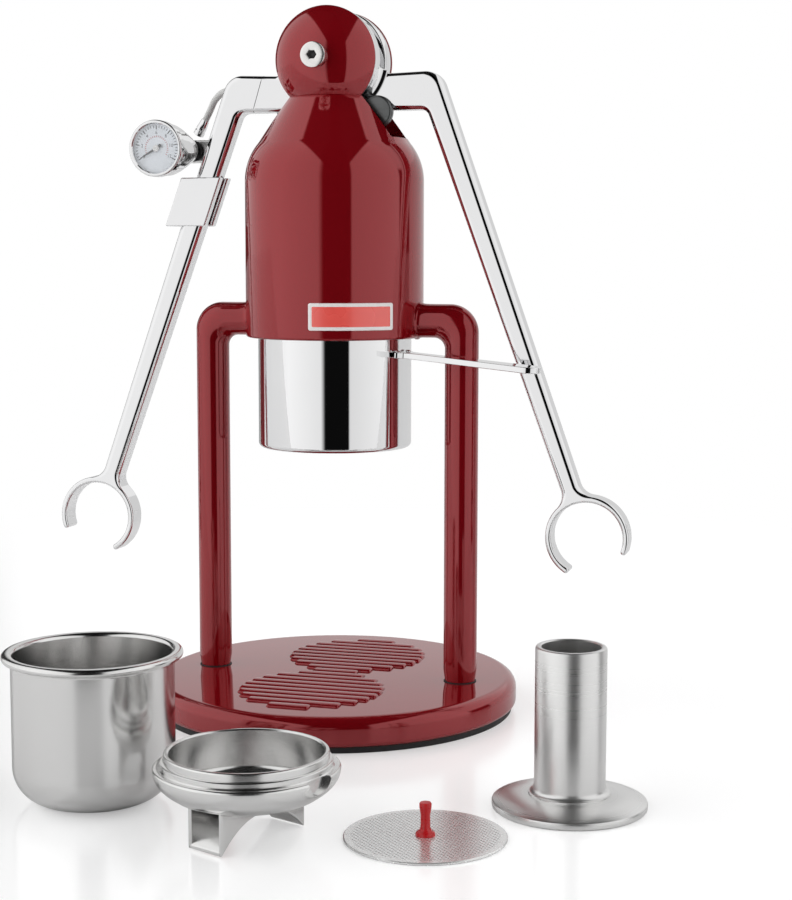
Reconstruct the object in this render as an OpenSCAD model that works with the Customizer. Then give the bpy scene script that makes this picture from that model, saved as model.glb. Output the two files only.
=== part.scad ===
// Manual lever espresso maker on two legs, with its loose brewing parts.
// Origin at the centre of the base underside, +Z up, front at -Y, arms along X.

/* [Base] */
// Diameter of the painted base plate
base_d = 164; // [150:1:180]
// Height of the painted base plate
base_h = 12.6; // [10:0.2:18]
// Rounding of the upper edge of the base plate
base_round = 5; // [2:0.5:6]
// Rounding of the lower edge of the base plate
base_round_low = 2.5; // [1:0.5:4]
// Thickness of the rubber mat under the base
mat_t = 2.4; // [1.5:0.1:4]
// Inset of the rubber mat from the edge of the base
mat_inset = 2; // [1:0.5:6]
// Radius of each round rib field on the base
field_r = 31.5; // [24:0.5:34]
// Distance of each rib field from the centre of the base
field_y = 33.9; // [30:0.1:40]
// Height of the ribs above the base
rib_h = 1.3; // [0.8:0.1:2]
// Width of one rib
rib_w = 5.8; // [4:0.1:6.2]
// Pitch of the ribs
rib_pitch = 6.4; // [5:0.1:8]
// Width of the short bridge between the rib fields
bridge_w = 21; // [10:1:30]

/* [Legs] */
// Diameter of the leg tube
leg_d = 14.8; // [12:0.2:18]
// Distance between the leg axes
leg_span = 116.6; // [106:0.2:130]
// Radius of the bend at the shoulder, on the tube axis
leg_bend = 10.5; // [9.5:0.5:18]
// Height of the shoulder tube axis above the underside of the body
shoulder_rise = 7.6; // [7.5:0.1:14]
// Thickness of the gasket under each leg
gasket_t = 0.8; // [0.5:0.1:2]
// Diameter of the leg bolts
leg_bolt_d = 6; // [4:0.5:8]
// Depth of the leg bolts in the leg
leg_bolt_len = 24; // [12:1:40]
// Diameter of the leg bolt heads
bolt_head_d = 9.6; // [8:0.2:12]
// Height of the leg bolt heads
bolt_head_h = 3.6; // [3:0.2:5]
// Clearance round the leg bolt heads
bolt_head_gap = 1.2; // [0.5:0.1:2]
// Free length of the hole beyond the end of a leg bolt
bolt_end_gap = 1; // [0.5:0.1:2]
// Width of the gasket that shows round the leg
gasket_lip = 0.3; // [0.1:0.1:0.6]

/* [Body] */
// Diameter of the body
body_d = 79; // [76:0.5:90]
// Height of the underside of the body above the table
body_z = 167.6; // [160:0.2:180]
// Height of the straight part of the body
body_h = 68.4; // [60:0.2:80]
// Wall of the body
body_wall = 4.4; // [3.5:0.1:5]
// Radius of the shoulder curve of the body
shoulder_r = 26; // [22:0.5:30]
// Radius of the neck at its narrowest
neck_r = 20.6; // [18:0.2:22]
// Height of the tapered neck above the straight part
neck_h = 36; // [34:0.5:40]
// Angle at which the shoulder curve runs out into the neck
shoulder_sweep = 40; // [35:1:50]
// Height of the slot floor above the straight part
slot_h = 18.4; // [16:0.2:24]
// Length of the plain collar that guides the sleeve
collar_h = 24; // [16:1:30]
// Height of the name plate window
plate_h = 11.6; // [8:0.2:14]
// Width of the name plate window
plate_w = 38; // [24:0.5:40]
// Thickness of the name plate at its edge
plate_t = 0.8; // [0.5:0.1:1.5]
// Width of the pale border of the name plate
plate_border = 1.5; // [1:0.1:3]
// Clearance of the name plate in its seat
plate_gap = 0.06; // [0.04:0.01:0.2]
// Angle of the name plate from the front
plate_angle = 29; // [0:1:40]
// Height of the name plate centre above the underside of the body
plate_rise = 10.2; // [9:0.2:20]

/* [Head] */
// Height of the axle above the table
axle_z = 288; // [284:0.5:292]
// Distance of the upper end of the neck below the axle
neck_drop = 16; // [12:0.5:16]
// Radius of the head
head_r = 23; // [21:0.2:24]
// Depth of each head dome
dome_h = 13; // [10:0.5:16]
// Half the width of the slot that takes the arms
slot_half = 12.5; // [12.4:0.1:15]
// Diameter of the axle
axle_d = 8; // [6:0.2:9]
// Diameter of the axle cap seen at the front
cap_d = 11; // [9:0.2:14]
// Thickness of the axle cap
cap_t = 2.2; // [1.5:0.1:4]
// Diameter of the collar under the axle cap
collar_d = 10.4; // [9:0.2:13]
// Length of the collar in front of the dome
collar_t = 3; // [2:0.1:5]
// Size of the hexagon socket in the axle cap
socket_d = 4; // [2.5:0.1:5]
// Depth of the hexagon socket
socket_depth = 1.4; // [0.8:0.1:1.8]
// Size of the acorn nut across its flats
nut_af = 13; // [11:0.5:16]
// Height of the hexagon of the acorn nut
nut_h = 6.5; // [5:0.5:9]
// Diameter of the round end of the acorn nut
acorn_d = 10.4; // [9:0.2:10.8]
// Height of the round end of the acorn nut
acorn_h = 2; // [1.5:0.1:4]
// Running clearance of shafts and pins in their bores
run_gap = 0.05; // [0.02:0.01:0.1]

/* [Arms] */
// Thickness of the hub disc of each arm
hub_t = 8; // [6:0.5:8]
// Side gap between hub discs and their neighbours
hub_gap = 0.3; // [0.2:0.05:0.3]
// Radius of the hub disc
hub_r = 22.4; // [20:0.2:22.6]
// Depth of the arm
arm_depth = 10.5; // [9:0.5:11]
// Rounding of the outer corner of the elbow
elbow_round = 7; // [3:0.5:9]
// Drop of the upper edge of the stub from the elbow to the hub
stub_fall = 1; // [0:0.1:2]
// Distance of the stub from the edge of the hub disc
stub_gap = 3; // [2:0.2:5]
// Thickness of the web that joins the hub disc to the stub
web_t = 3.6; // [3:0.1:5]
// Length of the web on the hub disc
web_bite = 9; // [6:0.5:12]
// Length of the web on the stub
web_lap = 6; // [4:0.5:10]
// Thickness of the hub disc in front of its crank pin
pin_floor = 2; // [1.5:0.1:3]
// Height of the stub that leaves the head
stub_h = 16.6; // [12:0.2:18]
// Height of the stub centre below the axle
stub_drop = 13.4; // [12:0.2:15]
// Distance of the arm axis from the machine axis, under the stub
elbow_x = 48.5; // [44:0.2:54]
// Width of the arm below the elbow
arm_w_top = 10.6; // [9:0.1:13]
// Width of the arm at the fork
arm_w_end = 8.4; // [7:0.1:10]
// Distance of the fork centre from the machine axis
fork_x = 115.2; // [105:0.2:125]
// Height of the fork centre above the table
fork_z = 82.6; // [70:0.2:95]
// Outer diameter of the fork ring
fork_d = 36.4; // [32:0.2:42]
// Wall of the fork ring
fork_wall = 2.6; // [2:0.1:4]
// Half the opening angle of the fork
fork_open = 52; // [35:1:65]
// Radius of the crank pin circle
crank_r = 18; // [16:0.2:18]
// Angle of the crank pin from straight down
crank_angle = 42; // [35:1:50]
// Diameter of the crank pins
crank_pin_d = 5; // [4:0.2:6]

/* [Linkage] */
// Length of each drive link between its pins
link_len = 45; // [40:0.5:50]
// Lean of the drive links
link_lean = 17.5; // [16:0.5:20]
// Width of the drive links
link_w = 8; // [6:0.2:8]
// Diameter of the cross pin
cross_pin_d = 5; // [4:0.2:6]
// Half length of the slot at the lower end of a link
link_slot = 4.6; // [4:0.2:6]
// Height clearance of the cross pin in the link slots
slot_gap = 1.5; // [1.2:0.1:2.5]
// Wall round the slot of a link
eye_wall = 2.6; // [2:0.1:3.5]
// Side gap between a link and its neighbours
link_gap = 0.35; // [0.3:0.05:0.6]
// Width of the piston rod clevis
clevis_w = 14; // [10:0.5:20]
// Thickness of each clevis cheek
cheek_t = 3.6; // [3:0.2:4]
// Height of the cheeks above the cross pin
cheek_top = 4; // [3.5:0.1:6]
// Height of the clevis floor
clevis_base = 5; // [4:0.5:8]
// Diameter of the round flange under the clevis
flange_d = 18; // [15:0.5:22]
// Clearance of the link ends above the clevis floor
clevis_gap = 4; // [3:0.5:6]
// Diameter of the piston rod
rod_d = 12; // [9:0.5:14]
// Diameter of the piston head
piston_d = 57; // [54:0.5:57.4]
// Height of the piston head
piston_h = 13; // [10:0.5:16]
// Thickness of the piston seal
seal_t = 3; // [2:0.2:4]
// Height of the piston seal beyond the piston
seal_lip = 0.7; // [0.4:0.1:0.8]
// Height of the piston underside above the lower edge of the sleeve
piston_rise = 8; // [6:0.5:12]
// Height of the rod guide above the underside of the body
guide_rise = 33; // [32:0.5:44]
// Thickness of the rod guide plate
guide_t = 6; // [5:0.5:9]
// Outer diameter of the rod bush
bush_d = 18; // [16:0.5:24]

/* [Sleeve] */
// Outer diameter of the group sleeve
sleeve_d = 68.2; // [66:0.2:70]
// Wall of the group sleeve
sleeve_wall = 3; // [2:0.1:4]
// Length of the sleeve below the body
sleeve_drop = 48.8; // [40:0.2:56]
// Length of the sleeve inside the body
sleeve_in = 24; // [14:0.5:26]
// Rounding of the lower edge of the sleeve
sleeve_round = 2; // [1:0.2:2.8]
// Width of the handle strip at the sleeve
strip_w_root = 7; // [5:0.5:9]
// Width of the handle strip at its tip
strip_w_tip = 12; // [9:0.5:15]
// Thickness of the handle strip
strip_t = 2.6; // [2:0.1:4]
// Distance of the strip tip from the machine axis
strip_reach = 102; // [90:1:115]
// Angle of the handle strip from the front
strip_angle = 75; // [66:1:76]
// Droop of the handle strip
strip_droop = 4; // [0:0.5:6]
// Height of the strip root above the lower edge of the sleeve
strip_rise = 42; // [30:0.5:44]
// Width of the foot that holds the strip on the sleeve
strip_foot_w = 14; // [12:0.5:18]
// Length of the foot in front of the sleeve
strip_foot_l = 2; // [1.5:0.1:4]
// Diameter of the strip rivet heads
rivet_d = 2.4; // [1.6:0.2:3]
// Height of the strip rivet heads
rivet_h = 0.8; // [0.4:0.1:1.5]
// Distance between the two strip rivets
rivet_span = 8.7; // [8:0.1:10]
// Distance of the rivets from the sleeve
rivet_out = 1.2; // [1.2:0.1:2]

/* [Gauge] */
// Diameter of the gauge bezel
bezel_d = 25; // [22:0.2:30]
// Depth of the round gauge case
case_h = 12; // [8:0.5:14]
// Depth of the cone behind the gauge case
cone_h = 6; // [3:0.5:8]
// Length of the gauge stem from the dial to its O-ring
stem_len = 24; // [22:0.5:28]
// Thickness of the bezel
bezel_t = 2.6; // [2:0.1:4]
// Width of the bezel rim seen from the front
bezel_rim = 1.7; // [1.2:0.1:3]
// Thickness of the dial card
dial_t = 0.5; // [0.4:0.1:1]
// Depth of the air gap that the needle turns in
needle_room = 1.5; // [1.2:0.1:2.5]
// Thickness of the needle
needle_t = 0.4; // [0.3:0.05:0.6]
// Length of the needle from its pivot
needle_len = 8.6; // [6:0.2:9]
// Length of the tail of the needle
needle_tail = 2.8; // [2:0.1:4]
// Width of the needle at its pivot
needle_w = 1.4; // [1:0.1:2]
// Width of the needle at its tip
needle_tip = 0.3; // [0.2:0.05:0.6]
// Diameter of the needle hub
needle_hub_d = 3; // [2:0.1:4]
// Height of the needle above the dial
needle_rise = 0.6; // [0.3:0.1:0.8]
// Rest angle of the needle, anticlockwise from the right
needle_angle = 210; // [180:1:270]
// Thickness of the lens
lens_t = 0.6; // [0.5:0.1:1]
// Diameter of the needle pivot
pivot_d = 1; // [0.8:0.1:1.4]
// Length of the needle pivot behind the dial face
pivot_len = 2.4; // [1.5:0.1:4]
// Wall of the bezel skirt round the case
bezel_skirt = 0.8; // [0.6:0.1:1.2]
// Horizontal distance of the gauge centre from the axle
gauge_x = 77.6; // [74:0.2:88]
// Height of the gauge centre above the table
gauge_z = 250.6; // [248:0.2:255]
// Depth position of the dial face
gauge_y = -16.5; // [-18:0.5:-11]
// Turn of the dial towards the left
gauge_turn = 0; // [0:1:12]
// Distance of the stem from the middle of the case, towards the arm
stem_off = 7; // [4:0.2:7.4]
// Radius of the flat back of the case
back_r = 6.4; // [5:0.2:9]
// Diameter of the gauge stem
stem_d = 7; // [5:0.2:8]
// Outer diameter of the stem O-ring
oring_d = 9.6; // [8:0.2:11]
// Thickness of the stem O-ring
oring_t = 2; // [1:0.2:3]
// Length of the arm clamp along the arm, its ends level
clamp_len = 23; // [16:0.5:30]
// Distance of the clamp below the elbow, along the arm
clamp_pos = 41.5; // [36:0.5:50]
// Width of the clamp beyond the outer side of the arm
clamp_out = 5.6; // [3:0.2:8]
// Wall of the arm clamp
clamp_wall = 1.8; // [1.2:0.1:3]
// Thickness of the gauge bracket behind the clamp
bracket_t = 3.5; // [3:0.1:5]
// Distance of the bracket edge from the outer side of the clamp
bracket_inset = 2.5; // [2:0.1:4]
// Height of the gauge block
block_h = 10; // [8:0.5:12]
// Depth of the gauge block
block_d = 9; // [7:0.5:12]
// Length of the gauge block towards the arm
block_w = 17; // [14:0.5:26]
// Width of the slot in the side of the clamp
clamp_slot = 5.2; // [3:0.2:7]
// Diameter of the clamp screw heads
screw_head_d = 5.4; // [4:0.2:6]
// Height of the clamp screw heads
screw_head_h = 1.8; // [1:0.1:3]
// Distance between the clamp screws
screw_pitch = 11.5; // [8:0.5:14]
// Diameter of the gauge hose
hose_d = 3; // [2:0.2:4]
// Diameter of the hose ferrules
ferrule_d = 4.4; // [3.4:0.2:6]
// Length of the hose ferrules
ferrule_len = 8; // [5:0.5:12]

/* [Basket] */
// Inner diameter of the filter basket
basket_bore = 59.2; // [58:0.1:62]
// Wall of the filter basket
basket_wall = 0.9; // [0.6:0.1:1.5]
// Height of the filter basket
basket_h = 57; // [50:0.5:66]
// Diameter of the rolled basket rim
basket_rim_d = 67.6; // [66:0.2:70]
// Thickness of the rolled basket rim
basket_rim_t = 3; // [2:0.1:4]
// Radius of the lower corner of the basket
basket_corner = 14; // [6:0.5:18]
// Place of the basket on the table, across
basket_x = -44.5; // [-50:0.5:-40]
// Place of the basket on the table, in depth
basket_y = -157.5; // [-170:0.5:-150]

/* [Portafilter] */
// Outer diameter of the portafilter ring
pf_d = 60.8; // [58:0.2:64]
// Wall of the portafilter
pf_wall = 2.4; // [2:0.1:4]
// Height of the portafilter rim above the table
pf_h = 31.6; // [28:0.2:36]
// Height of the portafilter bowl below its rim
pf_bowl = 19; // [17:0.5:21]
// Height of each step ring
pf_step = 4.4; // [3:0.2:6]
// Width of the step between the two rings
pf_step_w = 1.2; // [0.6:0.1:2]
// Height of the round underside of the bowl
pf_dome = 9.6; // [8:0.2:11]
// Diameter of the round skirt under the rings
pf_skirt_d = 66.4; // [64:0.2:67]
// Width of each spout trough
spout_w = 13; // [10:0.5:16]
// Distance between the two spout mouths
spout_span = 30; // [22:0.5:36]
// Wall of the spout
spout_wall = 1.6; // [1.2:0.1:3]
// Diameter of the drain between bowl and spout
drain_d = 7.8; // [5:0.2:9]
// Height of the arch between the spouts
arch_h = 7; // [4:0.5:9]
// Turn of the spout on the table
pf_turn = 68; // [0:1:90]
// Place of the portafilter on the table, across
pf_x = 27; // [22:0.5:30]
// Place of the portafilter on the table, in depth
pf_y = -184; // [-190:0.5:-178]

/* [Screen and tamper] */
// Diameter of the dispersion screen
screen_d = 58.2; // [56:0.2:60]
// Thickness of the dispersion screen
screen_t = 1; // [0.6:0.1:2]
// Diameter of the screen grip
grip_d = 4.4; // [3:0.2:6]
// Height of the screen grip
grip_h = 12; // [8:0.5:16]
// Diameter of the grip foot
grip_foot_d = 7; // [5:0.2:9]
// Height of the grip foot
grip_foot_h = 1.4; // [1:0.1:2.5]
// Diameter of the pin of the grip in the screen
grip_pin_d = 2; // [1.5:0.1:2.8]
// Place of the screen on the table, across
screen_x = 87.5; // [87.5:0.5:94]
// Place of the screen on the table, in depth
screen_y = -167; // [-172:0.5:-160]
// Diameter of the tamper plate
tamper_d = 58; // [56:0.2:60]
// Thickness of the edge of the tamper plate
tamper_edge = 3; // [2:0.2:5]
// Rise of the tamper plate to its middle
tamper_cone = 2.6; // [1:0.2:4]
// Outer diameter of the tamper tube
tube_d = 26.6; // [22:0.2:30]
// Wall of the tamper tube
tube_wall = 2.2; // [1.5:0.1:4]
// Height of the tamper
tamper_h = 61; // [54:0.5:70]
// Width of the foot ring of the tamper tube
foot_ring = 2.2; // [1:0.1:2.4]
// Height of the foot ring
foot_ring_h = 3; // [2.4:0.1:6]
// Break of the tamper edges
edge_break = 0.8; // [0.4:0.1:1]
// Place of the tamper on the table, across
tamper_x = 129.8; // [124:0.2:136]
// Place of the tamper on the table, in depth
tamper_y = -117.7; // [-124:0.2:-112]

/* [Hidden] */
$fn = 96;
far = 400;

base_top = mat_t + base_h;
base_r = base_d / 2;
leg_x = leg_span / 2;
shoulder_z = body_z + shoulder_rise;
body_r = body_d / 2;
body_in = body_r - body_wall;
shoulder_z0 = body_z + body_h;
taper_z = shoulder_z0 + neck_h;
neck_z = axle_z - neck_drop;
slot_z = shoulder_z0 + slot_h;
sleeve_r = sleeve_d / 2;
sleeve_z = body_z - sleeve_drop;
sleeve_top = body_z + sleeve_in;
strip_tuck = 2;
guide_z = body_z + guide_rise;
dome_sphere = (head_r * head_r + dome_h * dome_h) / (2 * dome_h);
dome_tip = slot_half + dome_h;

// Layers of the arms along the axle: hub disc, link, link, hub disc
hub_out = slot_half - hub_gap;
hub_in = hub_out - hub_t;
link_t = hub_in - 1.5 * link_gap;
crank_x = crank_r * sin(crank_angle);
crank_z = axle_z - crank_r * cos(crank_angle);
cross_z = crank_z - link_len * cos(link_lean);
link_foot_x = crank_x - link_len * sin(link_lean);
clevis_floor = cross_pin_d / 2 + slot_gap + eye_wall + clevis_gap;
piston_z = sleeve_z + piston_rise;

// The arm in its own frame: the axle is the origin, x runs outwards
stub_top = -stub_drop + stub_h / 2;
stub_low = -stub_drop - stub_h / 2;
fork_dz = fork_z - axle_z;
arm_lean = atan2(fork_x - elbow_x, stub_low - fork_dz);
arm_len = norm([fork_x - elbow_x, stub_low - fork_dz]);
arm_half_x = arm_w_top / 2 / cos(arm_lean);
arm_tuck = 4;
function arm_w(d) = arm_w_top + (arm_w_end - arm_w_top) * (d + arm_tuck) / (arm_len + arm_tuck);
stub_in = hub_r + stub_gap;
web_in = hub_r - web_bite;
web_front = hub_in + web_t;

// The gauge stands beside the left arm, its stem in a block behind the clamp
block_front = stem_len + oring_t;
hose_sides = 8;
// Route of the hose from the gauge block up behind the elbow, relative to the axle
hose_route = [[-66.4, 14, -23], [-63.5, 13, -18.5], [-60.5, 11, -14.5], [-56, 8.8, -11.5],
    [-50.5, 7.6, -10.4], [-47, 7.6, -10.4]];
hose_points = [for (q = hose_route) q + [0, 0, axle_z]];
hose_start = course(hose_points, 0);
hose_end = course(hose_points, len(hose_points) - 1);

paint = "#5f0a12";
chrome = "#d9dadc";
steel = "#b9bbbd";
rubber = "#161616";

// A disc along Y from y0 to y1, centred on the axle
module y_disc(r, y0, y1) {
    translate([0, y1, 0]) rotate([90, 0, 0]) cylinder(r = r, h = y1 - y0);
}

// Points of a circular arc
function arc(cx, cy, r, a0, a1, n) = [for (i = [0 : n]) let (a = a0 + (a1 - a0) * i / n)
    [cx + r * cos(a), cy + r * sin(a)]];

// A round slab with a rounded upper edge
module round_slab(r, h, edge, low) {
    rotate_extrude() polygon(concat([[0, 0]], arc(r - low, low, low, -90, 0, 6),
        arc(r - edge, h - edge, edge, 0, 90, 10), [[0, h]]));
}

// Half the length of the rib at a depth y: the width of a field there, or of the bridge
function rib_reach(y) = sqrt(max(0, field_r * field_r - pow(abs(y) - field_y, 2)));
function rib_half(y) = abs(y) < field_y - field_r / 2 ? max(rib_reach(y), bridge_w / 2) : rib_reach(y);

module base_plate() {
    color(paint) difference() {
        translate([0, 0, mat_t]) round_slab(base_r, base_h, base_round, base_round_low);
        for (s = [-1, 1]) translate([s * leg_x, 0, mat_t - 1]) {
            cylinder(d = leg_bolt_d + 2 * run_gap, h = base_h + 2);
            cylinder(d = bolt_head_d + 2 * bolt_head_gap, h = 1 + bolt_head_h);
        }
    }
}

module base_mat() {
    color(rubber) difference() {
        cylinder(r = base_r - mat_inset, h = mat_t);
        for (s = [-1, 1]) translate([s * leg_x, 0, -1])
            cylinder(d = bolt_head_d + 2 * bolt_head_gap, h = mat_t + 2);
    }
}

module grille_ribs() {
    n = ceil((field_y + field_r) / rib_pitch);
    color(paint) for (i = [-n : n]) let (half = rib_half(i * rib_pitch))
        if (half > rib_w) translate([-half, i * rib_pitch - rib_w / 2, base_top])
            cube([2 * half, rib_w, rib_h]);
}

module leg(side) {
    color(paint) difference() {
        union() {
            translate([side * leg_x, 0, base_top + gasket_t])
                cylinder(d = leg_d, h = shoulder_z - leg_bend - base_top - gasket_t);
            translate([side * (leg_x - leg_bend), 0, shoulder_z - leg_bend]) rotate([90, 0, 0])
                rotate([0, 0, side > 0 ? 0 : 90]) rotate_extrude(angle = 90)
                    translate([leg_bend, 0]) circle(d = leg_d);
            translate([0, 0, shoulder_z]) rotate([0, side * 90, 0]) cylinder(d = leg_d, h = leg_x - leg_bend);
        }
        translate([0, 0, body_z - leg_d]) cylinder(r = body_r, h = body_h + leg_d);
        translate([side * leg_x, 0, base_top])
            cylinder(d = leg_bolt_d + 2 * run_gap, h = gasket_t + leg_bolt_len);
    }
}

module left_leg() {
    leg(-1);
}

module right_leg() {
    leg(1);
}

module leg_gaskets() {
    color(rubber) for (s = [-1, 1]) translate([s * leg_x, 0, base_top]) difference() {
        cylinder(d = leg_d + 2 * gasket_lip, h = gasket_t);
        translate([0, 0, -1]) cylinder(d = leg_bolt_d + 2 * run_gap, h = gasket_t + 2);
    }
}

module leg_bolts() {
    shank = base_h - bolt_head_h + gasket_t + leg_bolt_len - bolt_end_gap;
    color(steel) for (s = [-1, 1]) translate([s * leg_x, 0, mat_t]) {
        cylinder(d = bolt_head_d, h = bolt_head_h);
        translate([0, 0, bolt_head_h]) cylinder(d = leg_bolt_d, h = shank);
    }
}

// Outline of the bottle shape, inset for the inside
function bottle(inset, z0) = concat([[0, z0], [body_r - inset, z0]],
    arc(body_r - shoulder_r, shoulder_z0, shoulder_r - inset, 0, shoulder_sweep, 8),
    neck_z > taper_z ? [[neck_r - inset, taper_z]] : [], [[neck_r - inset, neck_z], [0, neck_z]]);

module dome(side) {
    translate([0, side * slot_half, axle_z]) rotate([side * -90, 0, 0]) intersection() {
        translate([0, 0, dome_h - dome_sphere]) sphere(r = dome_sphere);
        cylinder(r = head_r + 1, h = dome_h + 1);
    }
}

module body_shell() {
    color(paint) difference() {
        union() {
            rotate_extrude() polygon(bottle(0, body_z));
            for (s = [-1, 1]) dome(s);
        }
        // inside of the casting
        rotate_extrude() polygon(bottle(body_wall, body_z + collar_h));
        translate([0, 0, body_z - 1]) cylinder(r = sleeve_r + run_gap, h = collar_h + 2);
        // slot that the arms swing in
        translate([-far / 2, -slot_half, slot_z]) cube([far, 2 * slot_half, far]);
        // axle bore
        translate([0, 0, axle_z]) y_disc(axle_d / 2 + run_gap, -far, far);
        // seat of the name plate
        plate_body(-plate_gap, plate_gap, 1);
    }
}

// A curved plate wrapped on the body, its face proud of the paint, its edges set in by a margin
// and its depth grown at the back and the front
module plate_body(margin, back, front) {
    a = (plate_w - 2 * margin) / body_r * 90 / PI;
    low = body_z + plate_rise - plate_h / 2 + margin;
    rotate([0, 0, plate_angle - 90 - a]) translate([0, 0, low]) rotate_extrude(angle = 2 * a)
        translate([body_r - plate_t - back, 0]) square([2 * plate_t + back + front, plate_h - 2 * margin]);
}

module name_plate() {
    color("#d23a3c") plate_body(plate_border + plate_gap, 0, 0);
}

module name_plate_border() {
    color("white") difference() {
        plate_body(0, 0, 0);
        plate_body(plate_border, 1, 1);
    }
}

module rod_guide() {
    color(steel) translate([0, 0, guide_z]) difference() {
        cylinder(r = body_in - run_gap, h = guide_t);
        translate([0, 0, -1]) cylinder(d = bush_d + 2 * run_gap, h = guide_t + 2);
    }
}

module rod_bush() {
    color("#b08d57") translate([0, 0, guide_z]) difference() {
        cylinder(d = bush_d, h = guide_t);
        translate([0, 0, -1]) cylinder(d = rod_d + 2 * run_gap, h = guide_t + 2);
    }
}

module axle() {
    color(steel) translate([0, 0, axle_z]) y_disc(axle_d / 2, -dome_tip - collar_t, dome_tip + nut_h);
}

module axle_cap() {
    color(chrome) translate([0, 0, axle_z]) difference() {
        union() {
            y_disc(cap_d / 2, -dome_tip - collar_t - cap_t, -dome_tip - collar_t);
            difference() {
                y_disc(collar_d / 2, -dome_tip - collar_t, -slot_half - dome_h / 2);
                y_disc(axle_d / 2 + run_gap, -dome_tip - collar_t, 0);
                translate([0, -slot_half - dome_h + dome_sphere, 0]) sphere(r = dome_sphere);
            }
        }
        translate([0, -dome_tip - collar_t - cap_t + socket_depth, 0]) rotate([90, 0, 0])
            cylinder(d = socket_d, h = socket_depth + 1, $fn = 6);
    }
}

module axle_nut() {
    color(chrome) translate([0, dome_tip, axle_z]) rotate([-90, 0, 0]) difference() {
        union() {
            cylinder(d = nut_af / cos(30), h = nut_h, $fn = 6);
            translate([0, 0, nut_h]) cylinder(d = acorn_d, h = acorn_h);
        }
        translate([0, 0, -1]) cylinder(d = axle_d + 2 * run_gap, h = nut_h + 1);
    }
}

module group_sleeve() {
    e = sleeve_round;
    color(chrome) translate([0, 0, sleeve_z]) difference() {
        union() {
            translate([0, 0, e]) cylinder(r = sleeve_r, h = sleeve_top - sleeve_z - e);
            rotate_extrude() polygon(concat([[0, 0]], arc(sleeve_r - e, e, e, -90, 0, 6), [[0, e]]));
        }
        translate([0, 0, -1]) cylinder(r = sleeve_r - sleeve_wall, h = sleeve_top - sleeve_z + 2);
    }
}

// Places a thing at the root of the handle strip, x outwards along the strip
module at_strip() {
    rotate([0, 0, strip_angle - 90]) translate([sleeve_r, 0, sleeve_z + strip_rise])
        rotate([0, strip_droop, 0]) children();
}

module handle_strip() {
    tip_r = strip_w_tip / 2;
    tip_x = strip_reach - sleeve_r - tip_r;
    color(chrome) difference() {
        at_strip() translate([0, 0, -strip_t / 2]) linear_extrude(strip_t) {
            polygon([[-strip_tuck, -strip_w_root / 2], [tip_x, -tip_r], [tip_x, tip_r],
                [-strip_tuck, strip_w_root / 2]]);
            translate([tip_x, 0]) circle(r = tip_r);
            translate([-strip_tuck, -strip_foot_w / 2]) square([strip_tuck + strip_foot_l, strip_foot_w]);
        }
        translate([0, 0, sleeve_z]) cylinder(r = sleeve_r, h = sleeve_drop);
    }
}

module handle_rivets() {
    color(chrome) at_strip() for (s = [-1, 1])
        translate([rivet_out, s * rivet_span / 2, strip_t / 2]) cylinder(d = rivet_d, h = rivet_h);
}

// One arm in its own frame, with its stub and fork towards +x and its hub at -y
module arm_solid() {
    half = arm_depth / 2;
    difference() {
        union() {
            y_disc(hub_r, -hub_out, -hub_in);
            translate([web_in, -web_front, stub_low]) cube([stub_in + web_lap - web_in, web_t, stub_h]);
            translate([stub_in, -web_front, stub_low]) cube([web_lap, web_front - half + 1, stub_h]);
            translate([0, half, 0]) rotate([90, 0, 0]) linear_extrude(arm_depth) arm_outline();
        }
        y_disc(axle_d / 2 + run_gap, -far, far);
        translate([crank_x, 0, crank_z - axle_z]) y_disc(crank_pin_d / 2 + run_gap, -hub_out + pin_floor, far);
    }
}

// Side outline of stub, elbow, arm and fork ring
module arm_outline() {
    fork_r = fork_d / 2;
    fork_in = fork_r - fork_wall;
    out_x = elbow_x + arm_half_x;
    cut = fork_d * [sin(fork_open), -cos(fork_open)];
    difference() {
        union() {
            polygon(concat([[stub_in, stub_low], [out_x, stub_low]],
                arc(out_x - stub_fall - elbow_round, stub_top - elbow_round, elbow_round, 0, 90, 8),
                [[stub_in, stub_top - stub_fall]]));
            translate([elbow_x, stub_low]) rotate(arm_lean)
                polygon([[-arm_w_top / 2, arm_tuck], [arm_w_top / 2, arm_tuck],
                    [arm_w_end / 2, fork_in - arm_len], [-arm_w_end / 2, fork_in - arm_len]]);
            translate([fork_x, fork_dz]) circle(r = fork_r);
        }
        translate([fork_x, fork_dz]) circle(r = fork_in);
        translate([fork_x, fork_dz]) rotate(arm_lean) polygon([[0, 0], [-cut[0], cut[1]], cut]);
    }
}

module right_arm() {
    color(chrome) translate([0, 0, axle_z]) arm_solid();
}

module left_arm() {
    color(chrome) translate([0, 0, axle_z]) rotate([0, 0, 180]) arm_solid();
}

module crank_pin() {
    color(steel) translate([crank_x, 0, crank_z]) y_disc(crank_pin_d / 2, -hub_out + pin_floor, -link_gap / 2);
}

module right_crank_pin() {
    crank_pin();
}

module left_crank_pin() {
    rotate([0, 0, 180]) crank_pin();
}

// A drive link with a round eye above and a slotted eye below
module link() {
    eye = cross_pin_d / 2 + slot_gap;
    color(steel) translate([crank_x, -link_gap / 2, crank_z]) rotate([90, 0, 0])
        linear_extrude(link_t) difference() {
        union() {
            circle(d = link_w);
            rotate(-link_lean) translate([-link_w / 2, -link_len]) square([link_w, link_len]);
            translate([link_foot_x - crank_x, cross_z - crank_z]) slot_outline(link_slot, eye + eye_wall);
        }
        circle(d = crank_pin_d + 2 * run_gap);
        translate([link_foot_x - crank_x, cross_z - crank_z]) slot_outline(link_slot, eye);
    }
}

// A level slot with round ends
module slot_outline(half, r) {
    for (s = [-1, 1]) translate([s * half, 0]) circle(r = r);
    square([2 * half, 2 * r], center = true);
}

module right_link() {
    link();
}

module left_link() {
    rotate([0, 0, 180]) link();
}

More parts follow.
